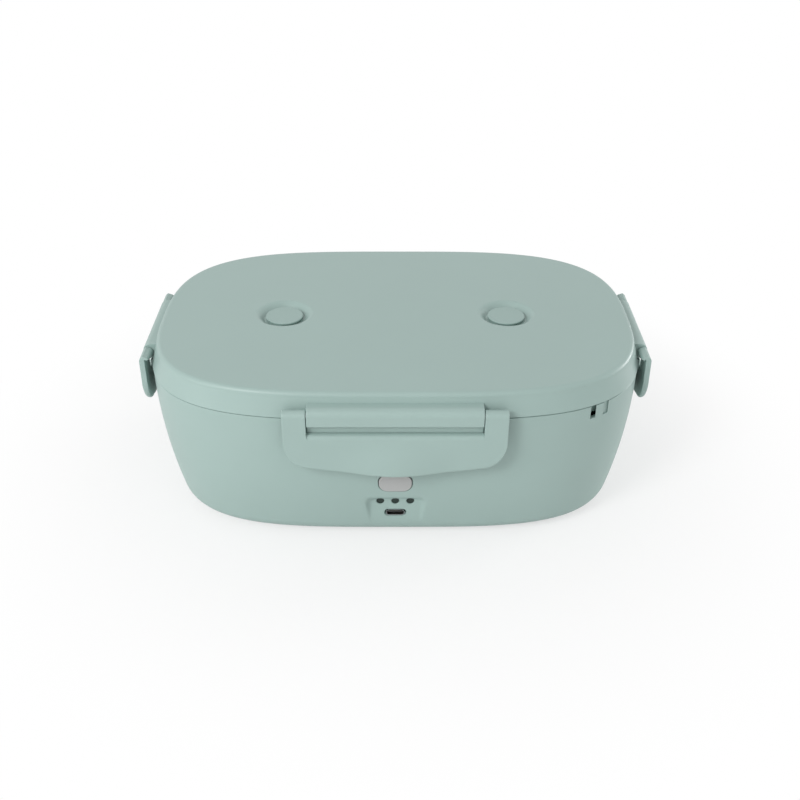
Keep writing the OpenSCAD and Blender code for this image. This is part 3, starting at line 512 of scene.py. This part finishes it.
def hole(x, z, w, h, r, chamfer, lead=0.0):
    """A cutter in the pocket's floor, wider at the surface."""
    y = FLOOR_Y + 0.03
    wide = plate_outline(w + 2 * chamfer, h + 2 * chamfer, r + chamfer)
    true = plate_outline(w, h, r)
    layers = [(wide, y - 12), (wide, y - 0.02), (true, y + chamfer + lead), (true, y + 9)]
    return solid("cutter", *loft([upright(line, depth, z, x) for line, depth in layers]))


LIGHT_Z, LIGHT_PITCH, PORT_Z = 22.2, 7.15, 15.2
cutters = [
    hole(x, LIGHT_Z, w=3.74, h=3.74, r=1.865, chamfer=0.18)
    for x in (-LIGHT_PITCH, 0.0, LIGHT_PITCH)
]
cutters.append(hole(0.0, PORT_Z, w=10.1, h=3.62, r=1.8, chamfer=0.45, lead=0.35))


# The button's hole follows the slope of the wall, so its stack is sheared.
def wall_y(z):
    return -(HALF_D - wall_in(z))


BUTTON_Z = 36.2


def on_wall(line, depth):
    """An outline stood up round the button's middle, at a depth along the wall."""
    return upright(line, wall_y(line[:, 1] + BUTTON_Z) + depth, BUTTON_Z)


wide, middle, true = (16.7, 11.7, 5.0), (16.2, 11.2, 4.8), (16.0, 11.0, 4.7)
opening = [(wide, -0.9), (wide, 0.0), (middle, 0.12), (true, 0.42), (true, 8.0)]
cutters.append(solid("cutter", *loft([on_wall(plate_outline(*size), d) for size, d in opening])))

SLOT_W, SLOT_H, SLOT_AIM = 2.9, 6.6, math.radians(78)


def slot_cutter(turn, depth):
    """A slot under the rim, cut nearly straight back whatever way the wall faces there."""
    turn = math.radians(turn)
    x = HALF_W * math.cos(turn) ** (2 / POWER_W)
    y = -HALF_D * abs(math.sin(turn)) ** (2 / POWER_D)
    rim = np.array([x, y])
    out = out_from(rim[None])[0]
    side = np.array([-out[1], out[0]]) * SLOT_W / 2
    into = np.array([math.cos(SLOT_AIM), math.sin(SLOT_AIM)])
    front = [rim - side - 5 * into, rim + side - 5 * into]
    flat = front + [rim + side + depth * into, rim - side + depth * into]
    heights = (RIM_Z - SLOT_H, RIM_Z + 5)
    return solid("cutter", *loft([np.array([(*p, z) for p in flat]) for z in heights]))


cutters += [slot_cutter(-53.0, 5.0), slot_cutter(-47.2, 1.5)]
cut_out(housing, *cutters)
print("housing after its holes:", len(housing.data.polygons), "faces")

# %% [markdown]
# Behind each clip the housing carries a rib that the flap closes over. It
# shows as a narrow band through the clip's window, so its edges are rounded too.

# %% Ribs, and the finished housing
# Ribs and bars end this far inside the ends of a clip, clear of its ears.
EAR_CLEAR = 10.9
RIB_LOW, RIB_TOP, RIB_FACE = -10.8, -4.6, -0.2
ribs = []
for side, row in SIDES.items():
    root, reach = -row.pin_out - 2, row.half - EAR_CLEAR
    outline = rounded([
        (root, RIB_LOW, 0), (RIB_FACE, RIB_LOW, 0.5), (RIB_FACE, RIB_TOP, 0.4), (root, RIB_TOP, 0),
    ], 4)
    ribs.append(prism("rib", side, outline, -reach, reach, 0.3))
housing = joined("housing_body", housing, *ribs)
dress(housing, "housing", shell_finish, "shell", "housing_shell")

# %% [markdown]
# ## The lid
# The lid's side leans in and ends in a small round edge below a flat top. Two
# round bowls are sunk in the top for the vent plugs. A slope that follows half
# a cosine wave makes a better bowl than a cone, because the photograph's
# shading fades into it without a hard line.

# %% The lid's shell
LID_LOW, LID_TOP, LID_LEAN, LID_EDGE_R = 73.0, 84.9, 2.9, 2.5
LEAN_TOP = LID_TOP - LID_EDGE_R


def lid_in(z):
    """How far the lid's side lies within the rim at a height."""
    return LID_LEAN * (z - SEAM_Z) / (LEAN_TOP - SEAM_Z)


turns = np.radians(np.linspace(0, 90, 11))
round_edge = [
    (LID_LEAN + LID_EDGE_R * (1 - math.cos(t)), LEAN_TOP + LID_EDGE_R * math.sin(t)) for t in turns
]
lid_chain = (
    [(8.0, 79.4), (7.6, 79.4), (lid_in(77.5) + WALL, 77.5), (WALL, LID_LOW + 0.2)]
    + [(2.0, LID_LOW), (0.5, LID_LOW), (0.22, LID_LOW + 0.06), (0.07, LID_LOW + 0.2)]
    + [(lid_in(LID_LOW + 0.5), LID_LOW + 0.5)]
    + [(lid_in(z), z) for z in np.linspace(LID_LOW + 1.5, LEAN_TOP - 0.6, 6)]
    + round_edge
    + [(5.9, LID_TOP), (6.6, LID_TOP)]
)
lid = solid("lid_body", *loft([level(plain_rim, i, z) for i, z in lid_chain]))
ROUND = np.linspace(0, 2 * np.pi, 97)[:-1]


def lathe(name, x, profile):
    """A profile of (radius, height) turned about an upright axis at x."""
    cos, sin = np.cos(ROUND), np.sin(ROUND)
    rings = [np.column_stack([x + r * cos, r * sin, np.full(len(ROUND), z)]) for r, z in profile]
    return solid(name, *loft(rings))


VENT_X, BOWL_FLOOR = 55.9, LID_TOP - 3.2
FLOOR_R, SLOPE_W = 10.1, 4.7
slope = [
    (FLOOR_R + SLOPE_W * s, LID_TOP - 1.6 * (1 + math.cos(math.pi * s**0.75)))
    for s in np.linspace(0.03, 0.97, 15)
]
bowl = [(4.0, 70.0), (4.0, BOWL_FLOOR), (FLOOR_R, BOWL_FLOOR)] + slope + [(14.9, LID_TOP + 3)]
cut_out(lid, *[lathe("cutter", x, bowl) for x in (-VENT_X, VENT_X)])
print("lid with two bowls:", len(lid.data.polygons), "faces")

# %% [markdown]
# Each side of the lid carries a bar that the hinge pin of its clip runs through.
# A cube with a bevel would do for a straight bar, but this one has a wide round
# on its upper edge alone and a skirt below, so it is a prism of one outline.

# %% The bars that carry the hinge pins
RIM_W, BAR_LOW, BAR_TOP, OUTER = -3.4, -4.3, 3.9, 2.8
bars = []
for side, row in SIDES.items():
    root, skirt, reach = -row.pin_out - 1.76, -row.pin_out + 0.5, row.half - EAR_CLEAR
    outline = rounded([
        (root, RIM_W, 0), (skirt, RIM_W, 0), (skirt, BAR_LOW, 0), (OUTER, BAR_LOW, 0.45),
        (OUTER, BAR_TOP, 3.6), (root - 2.27, BAR_TOP, 0),
    ], 10)
    bars.append(prism("bar", side, outline, -reach, reach, 0.3))
lid = joined("lid_body", lid, *bars)
dress(lid, "lid", shell_finish, "shell", "lid_shell")

# %% [markdown]
# ## Clips
# A clip is a flat skin with a window, an ear at each end that curls over the
# hinge pin, and a belly at the bottom that lets a finger in behind it. The
# skin could be a plane with a Solidify modifier, but its edges would stay
# square. Here every cross-section is drawn whole, with its round lower lip,
# and lofted along the clip, and the ears are prisms that meet it edge to edge.
# The side clips have slimmer ears, so that they can turn beside the lid.

# %% A clip's flap and ears
# The skin's thickness, the height of the window's lower edge, the lengths of ear
# and web along the pin, the thickness of the ear's roof and the round at the ends.
SKIN, WINDOW_W, EAR, WEB, ROOF, ROUND_END = 2.7, -8.8, 10.6, 4.0, 1.3, 0.35
# The height of the seam, the belly's reach, and the form of the lower edge.
SEAM_W, BELLY, SAG, CORNER_W, CORNER_H = -3.6, 3.2, 2.6, 11.0, 13.8


def flap_bottom(u, half, drop):
    """The height of the flap's lower edge: a belly, and an elliptic corner."""
    straight = half - CORNER_W
    if abs(u) < straight:
        return SEAM_W - drop + SAG * (abs(u) / straight) ** 2.4
    over = min(1.0, (abs(u) - straight) / CORNER_W)
    return SEAM_W - drop + SAG + CORNER_H * (1 - math.sqrt(max(0.0, 1 - over * over)))


def bulge(u, s, half):
    """How far the flap's belly stands out, from s = 0 at the window to 1 below."""
    reach = 0.6 * half
    across = math.cos(math.pi / 2 * u / reach) ** 2 if abs(u) < reach else 0.0
    return BELLY * across * math.sin(math.pi / 2 * min(max(s, 0.0), 1.0)) ** 1.7


def flap_section(u, half, drop):
    """One closed cross-section of the flap: down the outside and up the inside."""
    rows, edge = 16, ROUND_END
    over = max(0.0, abs(u) - (half - edge))
    thin = edge - math.sqrt(max(0.0, edge**2 - over**2))
    inner_r, outer_r = (0.3, 2.3) if abs(u) < half - EAR - 0.1 else (0.0, 0.0)
    bottom, r = flap_bottom(u, half, drop) + thin, SKIN / 2 - thin
    share = lambda w: (WINDOW_W - w) / (WINDOW_W - bottom)
    middle = OUTER - SKIN / 2
    line = []
    for w in np.linspace(WINDOW_W - outer_r, bottom + r, rows):
        line.append((middle + r + bulge(u, share(w), half), w))
    base_v = middle + bulge(u, share(bottom + r), half)
    for t in np.linspace(0, math.pi, 9)[1:-1]:
        line.append((base_v + r * math.cos(t), bottom + r - r * math.sin(t)))
    for w in np.linspace(bottom + r, WINDOW_W - inner_r, rows):
        line.append((middle - r + bulge(u, share(w), half), w))
    for t in np.radians([30, 60, 90]):
        v = middle - r + inner_r * (1 - math.cos(t))
        line.append((v, WINDOW_W - inner_r * (1 - math.sin(t))))
    for t in np.radians([90, 72, 54, 36, 18]):
        v = middle + r - outer_r * (1 - math.cos(t))
        line.append((v, WINDOW_W - outer_r * (1 - math.sin(t))))
    return [(u, v, w) for v, w in line]


def clip(side):
    """The clip of one side: its flap, and an ear with a web at each end."""
    row = SIDES[side]
    half, back_r = row.half, row.back_r
    straight, inner = half - CORNER_W, half - EAR
    middle = list(np.linspace(0, straight, 26))
    corner = [straight + CORNER_W * math.sin(math.pi / 2 * k / 18) for k in range(1, 19)]
    beside_ear = [half - EAR - 0.05, half - EAR - 0.15]
    right = sorted(set(round(u, 4) for u in middle + beside_ear + corner))
    us = [-u for u in right[::-1] if u > 0] + right
    parts = [solid("flap", *loft([on_side(side, flap_section(u, half, row.drop)) for u in us]))]
    turned = 90 if back_r == OUTER else 70
    ear = arc(0, 0, back_r, 98, 150, 10) + arc(0, 0, back_r - ROOF, 150, 98, 6)
    ear += [(OUTER - SKIN, back_r - ROOF - 0.1), (OUTER - SKIN, WINDOW_W), (OUTER, WINDOW_W)]
    ear += arc(0, 0, OUTER, 0, turned, 12)
    web = arc(0, 0, back_r - 0.1, 98, 270, 24) + [(OUTER - 0.02, 0.1 - back_r)]
    web += arc(0, 0, OUTER - 0.02, 0, turned, 12)
    for sign in (-1, 1):
        rings = []
        for u, d in stations(inner, half, ROUND_END, 4, 4):
            line = drawn_in(ear, d)
            low = np.array([p[1] == WINDOW_W for p in ear])
            line[low, 1] = WINDOW_W
            rings.append(on_side(side, [(sign * u, v, w) for v, w in line]))
        parts.append(solid("ear", *loft(rings)))
        start, end = sorted((sign * (inner + 0.03), sign * (inner + WEB - 0.05)))
        parts.append(prism("web", side, web, start, end, 0.25))
    made = joined("clip_" + side + "_skin", *parts)
    dress(made, side + "_clip", shell_finish, "shell", "clip_" + side)


for side in SIDES:
    clip(side)

# %% [markdown]
# ## Vent plugs
# Each plug is a soft round cap that sits in its bowl, on a stem that passes
# through the lid and ends in a stop. A lathe profile is all that it takes: it
# has a rounded rim that stands out over an undercut, so that a thin shadow
# falls below it. The silicone is a touch rougher than the lid.

# %% Vent plugs
plug_finish = plastic("plug_silicone", (0.32, 0.432, 0.404), 0.55, 0.5)
PLUG_LOW, PLUG_TOP, STEM_R, PLUG_EDGE = BOWL_FLOOR + 0.02, BOWL_FLOOR + 2.1, 3.8, 0.5
plug = [(STEM_R, 70.5), (5.2, 70.5), (5.4, 70.7), (5.4, 71.5), (5.2, 71.7), (STEM_R, 71.7)]
plug += [(STEM_R, PLUG_LOW), (8.2, PLUG_LOW)]
plug += [(8.2, PLUG_TOP - 1.3), (8.5, PLUG_TOP - 1.05), (9.15, PLUG_TOP - 0.95)]
plug += [
    (8.85 + PLUG_EDGE * math.cos(t), PLUG_TOP - PLUG_EDGE + PLUG_EDGE * math.sin(t))
    for t in np.radians(np.linspace(-30, 84, 8))
]
plug += [(8.3, PLUG_TOP)]
for side, x in (("left", -VENT_X), ("right", VENT_X)):
    made = lathe("vent_cap_" + side, x, plug)
    dress(made, side + "_vent", plug_finish, "seal_rubber_green", "vent_plug_" + side)

# %% [markdown]
# ## Power button
# The button is a pad with a soft edge that follows the slope of the wall. It
# is a stack of rounded rectangles: two for its straight side, a few for the
# round edge, and a very shallow dish on top.

# %% Power button
button_finish = plastic("button_plastic", (0.41, 0.415, 0.412), 0.38, 0.25)
BUTTON_W, BUTTON_R = 15.4, 4.4
pad = [(1.5, BUTTON_W), (-0.1, BUTTON_W)]
pad += [
    (-0.5 + 0.4 * (1 - math.sin(t)), BUTTON_W - 0.8 * (1 - math.cos(t)))
    for t in np.radians(np.linspace(10, 90, 6))
]
rings = []
for depth, w in pad:
    rings.append(on_wall(plate_outline(w, w - 5.0, BUTTON_R - (BUTTON_W - w) / 2, 10), depth))
rim = rings[-1]
for share, depth in ((0.9, -0.5), (0.7, -0.42), (0.4, -0.36)):
    line = rim[:, [0, 2]] * share + np.array([0.0, BUTTON_Z * (1 - share)])
    rings.append(upright(line, wall_y(line[:, 1]) + depth))
parts = [solid("button_pad", *loft(rings))]
flange, stem = plate_outline(17.4, 12.4, 5.4, 10), plate_outline(4.8, 4.8, 2.39, 8)
for name, line, depths in (("flange", flange, (-75.1, -74.3)), ("stem", stem, (-77.0, -71.3))):
    parts.append(solid(name, *loft([upright(line, y, BUTTON_Z) for y in depths])))
button = joined("button_cap", *parts)
dress(button, "button", button_finish, "button", "power_button")

# %% [markdown]
# ## Charging port
# Inside its cut-out sits a metal socket, a rounded tube with a thin tongue in
# it. The tube is a loop of six outlines, so it has a real wall and a bevelled
# mouth, and the tongue is a dark blade with gilt contacts.

# %% Metals and dark plastics
def metal(name, colour, rough, stretch=(1.0, 1.0, 1.0)):
    """Metal with brush lines: noise drawn out along one direction."""
    material, place = finish_start(name)
    lines = place.stretched(*stretch).noise(900.0, 3.0, 0.6)
    deep = tuple(0.86 * c for c in colour) + (1.0,)
    return finish_end(
        material, place,
        base_color=lines.mixed(deep, tuple(colour) + (1.0,)),
        metallic=1.0,
        roughness=rough - 0.05 + 0.12 * lines,
        normal=place.bump(lines, 0.00002, 0.15),
    )


steel_finish = metal("brushed_steel", (0.60, 0.61, 0.62), 0.3, (0.04, 1.0, 1.0))
pin_finish = metal("pin_steel", (0.58, 0.59, 0.60), 0.28, (1.0, 1.0, 0.1))
well_finish = metal("satin_aluminium", (0.55, 0.56, 0.57), 0.42, (0.06, 1.0, 1.0))
dark_finish = plastic("dark_plastic", (0.022, 0.024, 0.024), 0.45)
white_finish = plastic("white_plastic", (0.72, 0.72, 0.70), 0.4)
gold_finish = metal("gilt_contacts", (0.78, 0.58, 0.25), 0.3)
print("metals and plain plastics are ready")

# %% The socket and its tongue
SOCKET_Y, BOARD_Y = FLOOR_Y + 0.25, FLOOR_Y + 6.8
tube = [
    (8.94, 3.2, SOCKET_Y + 0.12), (8.94, 3.2, BOARD_Y),
    (8.34, 2.6, BOARD_Y), (8.34, 2.6, SOCKET_Y + 0.12),
    (8.5, 2.76, SOCKET_Y), (8.78, 3.04, SOCKET_Y),
]
rings = [upright(plate_outline(w, h, h / 2 - 0.01, 10), y, PORT_Z) for w, h, y in tube]
socket_tube = solid("socket_tube", *loft(rings, loop=True))
dress(socket_tube, "housing", pin_finish, "steel", "port_socket")


def block(x0, x1, y0, y1, z0, z1, r):
    """A block that is rounded as seen from the front."""
    line = rounded([(x0, z0, r), (x1, z0, r), (x1, z1, r), (x0, z1, r)], 3)
    return solid("block", *loft([upright(line, y) for y in (y0, y1)]))


tongue = joined(
    "socket_tongue",
    block(-3.3, 3.3, SOCKET_Y + 0.8, BOARD_Y - 0.4, 14.85, 15.55, 0.25),
    block(-4.2, 4.2, BOARD_Y - 1.2, BOARD_Y - 0.7, 13.9, 16.5, 1.0),
)
dress(tongue, "housing", dark_finish, "dark_plastic")
contacts = joined("socket_contacts", *[
    block(x - 0.13, x + 0.13, SOCKET_Y + 1.1, BOARD_Y - 1.4, z0, z0 + 0.04, 0.01)
    for x in np.arange(-2.75, 2.8, 0.5) for z0 in (15.54, 14.82)
])
dress(contacts, "housing", gold_finish, "steel")

# %% [markdown]
# ## The well and the dish
# Under the lid a pressed dish hangs by its flange in a heated well of the same
# form. Both are thin cups. Their walls taper a little so that the dish lifts
# out, and a wide fillet joins wall and floor.

# %% The well and the dish
CUP_LEAN = 0.14


def cup_edge(mouth, top_z, floor_z, r):
    """The fillet of a cup and the foot of its leaning wall."""
    tilt = math.atan(CUP_LEAN)
    centre_z = floor_z + r
    centre_in = mouth + CUP_LEAN * (top_z - centre_z + r * math.sin(tilt)) + r * math.cos(tilt)
    turns = np.linspace(0, math.pi / 2 - tilt, 11)
    return [(centre_in - r * math.sin(t), centre_z - r * math.cos(t)) for t in turns]


def cup(name, mouth, t, flange_in, flange_z, floor_z, r, curl):
    """A cup of thickness t that hangs by its flange; mouth is its inset there."""
    top = flange_z + t
    outer = cup_edge(mouth, flange_z, floor_z, r)
    inner = cup_edge(mouth + t, top, floor_z + t, r - t)
    chain = [(outer[0][0] + 2, floor_z)] + outer
    chain += [(mouth + 0.05, flange_z - 0.4), (mouth - 0.3, flange_z), (flange_in + curl, flange_z)]
    chain += [(flange_in, flange_z + 0.3 * t), (flange_in, flange_z + 0.7 * t)]
    chain += [(flange_in + curl, top), (mouth - 0.6, top), (mouth + 0.1, top - 0.08)]
    chain += [(mouth + 0.55, top - 0.4), (mouth + t + 0.12, top - 0.95)]
    chain += inner[::-1] + [(inner[0][0] + 2, floor_z + t)]
    return solid(name, *loft([level(plain_rim, i, z) for i, z in chain]))


well = cup(
    "warming_well", mouth=12.6, t=0.8, flange_in=7.4, flange_z=LEDGE_Z, floor_z=27.4, r=12.0,
    curl=0.2,
)
dress(well, "housing", well_finish, "well_metal", "heating_well")
dish = cup(
    "food_dish", mouth=14.0, t=0.8, flange_in=7.6, flange_z=71.7, floor_z=28.5, r=10.6,
    curl=0.25,
)
dress(dish, "dish", steel_finish, "steel", "inner_dish")

# %% [markdown]
# ## Under the lid
# A flat liner closes the lid from below, with two low ribs that hold the seal.
# It shows when the lid is lifted. The seal is a ring of pale silicone.

# %% Liner and seal
LINER_Z, RIB_END = 75.0, 73.8
liner_chain = [(20.0, LINER_Z)]
for start, end in ((13.8, 12.6), (8.6, 7.4)):
    liner_chain += [(start, LINER_Z), (start, 73.95), (start - 0.15, RIB_END)]
    liner_chain += [(end + 0.15, RIB_END), (end, 73.95), (end, LINER_Z)]
liner_chain += [(3.75, LINER_Z), (3.45, 75.2), (3.45, 76.4), (3.6, 76.6), (20.0, 76.6)]
liner = solid("lid_underside", *loft([level(plain_rim, i, z) for i, z in liner_chain]))
cut_out(liner, *[lathe("cutter", x, [(4.3, 70.0), (4.3, 80.0)]) for x in (-VENT_X, VENT_X)])
dress(liner, "lid", shell_finish, "shell", "lid_liner")

seal_finish = plastic("pale_silicone", (0.72, 0.75, 0.73), 0.5, 0.5)
seal_chain = [(8.8, LINER_Z), (8.8, 73.3), (9.1, 72.95), (9.6, 72.8), (10.2, 72.95), (10.6, 73.25)]
seal_chain += [(11.0, 72.95), (11.6, 72.8), (12.1, 72.95), (12.4, 73.3), (12.4, LINER_Z)]
seal = solid("lid_seal_ring", *loft([level(plain_rim, i, z) for i, z in seal_chain], loop=True))
dress(seal, "lid", seal_finish, "seal_rubber", "lid_seal")

# %% [markdown]
# ## Pieces kept from the CAD model
# Screws, feet, boards and cells already have their true shape, so they keep
# it and only get a finish. The boards get a solder mask with faint tracks, the
# heater film its amber tint, and the feet a dry rubber.

# %% Finishes of the inner pieces
def board_mask(name):
    material, place = finish_start(name)
    tracks = place.noise(260.0, 0.0, 0.0) > 0.52
    return finish_end(
        material, place,
        base_color=tracks.mixed((0.012, 0.10, 0.045, 1.0), (0.02, 0.15, 0.07, 1.0)),
        roughness=0.25 + 0.1 * tracks, specular=0.5,
        normal=place.bump(tracks, 0.00003, 0.4),
    )


def felt(name):
    material, place = finish_start(name)
    fibres = place.stretched(1.0, 1.0, 4.0).noise(1400.0, 5.0, 0.7)
    return finish_end(
        material, place,
        base_color=fibres.mixed((0.52, 0.51, 0.45, 1.0), (0.74, 0.73, 0.67, 1.0)),
        roughness=0.9, normal=place.bump(fibres, 0.0003, 0.6),
    )


board_finish = board_mask("solder_mask")
felt_finish = felt("insulation_felt")
rubber_finish = plastic("foot_rubber", (0.03, 0.032, 0.032), 0.75, 0.8)
smoked_finish = plastic("smoked_lens", (0.008, 0.022, 0.017), 0.34, 0.05)
film_finish = plastic("heater_film", (0.55, 0.2, 0.035), 0.3, 0.1)
wrap_finish = plastic("cell_wrap", (0.04, 0.12, 0.4), 0.3, 0.1)
can_finish = metal("can_aluminium", (0.5, 0.5, 0.52), 0.35)
lead_finish = plastic("lead_cover", (0.3, 0.025, 0.02), 0.5, 0.2)
KEPT = {
    shell_finish: ["bottom_cover"],
    pin_finish: ["cover_screws", "clip_pins", "board_screws", "thermal_fuse", "cell_links"],
    rubber_finish: ["rubber_feet"],
    film_finish: ["heater_mat"],
    felt_finish: ["insulation_pad"],
    dark_finish: [
        "temperature_sensor", "battery_tray", "control_chip", "power_inductor", "button_switch",
    ],
    wrap_finish: ["battery_cells"],
    board_finish: ["control_board", "port_board"],
    can_finish: ["capacitors"],
    white_finish: ["board_sockets", "charge_leds", "switch_plunger"],
    smoked_finish: ["light_pipes"],
    lead_finish: ["heater_leads", "sensor_lead", "battery_leads", "port_lead"],
}
for finish, nodes in KEPT.items():
    for node in nodes:
        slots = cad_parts[node].data.materials
        slots.clear()
        slots.append(finish)
print("finished", sum(len(nodes) for nodes in KEPT.values()), "CAD pieces")

# %% [markdown]
# ## Floor, light and camera
# The photograph is a bright product picture on white. A soft key light stands
# at the front left, a faint one low on the left, and a low one at the right
# draws a bright line down that side. The floor is lifted towards white for the
# camera alone, fully so further out, and still takes the shadow of the box. The
# camera stands where a fit to the edges in the photograph put it.

# %% Floor and surroundings
def white_stage(name):
    """Pale, with the shadow of what stands on it, and pure white further out."""
    material, place = finish_start(name)
    finish_end(material, place, base_color=(0.93, 0.93, 0.93, 1.0), roughness=0.8, specular=0.1)
    output = place.tree.nodes["Material Output"]
    pale = Socket(place.tree, output.inputs["Surface"].links[0].from_socket)
    seen = place.node("ShaderNodeLightPath")
    reach = place.node("ShaderNodeVectorMath", {"operation": "LENGTH"}, {0: place}, out=1)
    far = place.node(
        "ShaderNodeMapRange", {"interpolation_type": "SMOOTHSTEP"},
        {"Value": reach, "From Min": 0.12, "From Max": 0.25},
    )
    white = place.node("ShaderNodeEmission", None, {"Color": (1, 1, 1, 1), "Strength": 1.0})
    share = seen * (0.62 + 0.38 * far)
    shown = place.node("ShaderNodeMixShader", None, {0: share, 1: pale, 2: white})
    place.tree.links.new(shown.out, output.inputs["Surface"])
    return material


FLOOR_Z, FAR = -0.05, 6000
corners = [(-FAR, -FAR, FLOOR_Z), (FAR, -FAR, FLOOR_Z), (FAR, FAR, FLOOR_Z), (-FAR, FAR, FLOOR_Z)]
floor = solid("floor", corners, [[0, 1, 2, 3]])
floor.data.materials.append(white_stage("floor_white"))

world = bpy.data.worlds.new("studio")
bpy.context.scene.world = world
world.use_nodes = True
tree = world.node_tree
tree.nodes.clear()
space = Socket(tree)
seen = space.node("ShaderNodeLightPath")
shiny = space.node("ShaderNodeLightPath", out=3)
# Full white to the camera and in reflections, and dimmer as a light.
strength = 0.66 + 0.34 * space.sum("MAXIMUM", seen, shiny)
back = space.node("ShaderNodeBackground", None, {"Color": (1, 1, 1, 1), "Strength": strength})
output = tree.nodes.new("ShaderNodeOutputWorld")
tree.links.new(back.out, output.inputs["Surface"])


def lamp(name, at, look, power):
    """A white round lamp, half a metre across, that faces a point."""
    data = bpy.data.lights.new(name, "AREA")
    data.shape, data.size, data.energy = "DISK", 0.5, power
    made = bpy.data.objects.new(name, data)
    bpy.context.scene.collection.objects.link(made)
    made.location = at
    made.rotation_mode = "QUATERNION"
    made.rotation_quaternion = (Vector(look) - Vector(at)).to_track_quat("-Z", "Y")


lamp("key_light", (-0.75, -0.95, 0.95), (0, 0, 0.04), 9.5)
lamp("left_light", (-1.2, -0.6, 0.3), (0, 0, 0.04), 1.5)
lamp("right_light", (1.1, 0.5, 0.12), (0.1, 0, 0.03), 6.5)
print("stage and lamps are set")

# %% The camera of the photograph
camera = bpy.data.objects.new("photo_camera", bpy.data.cameras.new("photo_camera"))
bpy.context.scene.collection.objects.link(camera)
LOOK_DOWN = 31.501
camera.location = (0.0, -0.4844, 0.3303)
camera.rotation_euler = (math.radians(90 - LOOK_DOWN), 0.0, 0.0)
camera.data.lens, camera.data.sensor_width = 48.30, 36.0
camera.data.shift_x = 0.005875
camera.data.clip_start, camera.data.clip_end = 0.01, 50.0
bpy.context.scene.camera = camera
bpy.context.scene.view_settings.view_transform = "Standard"
print("camera at", tuple(round(v, 3) for v in camera.location))
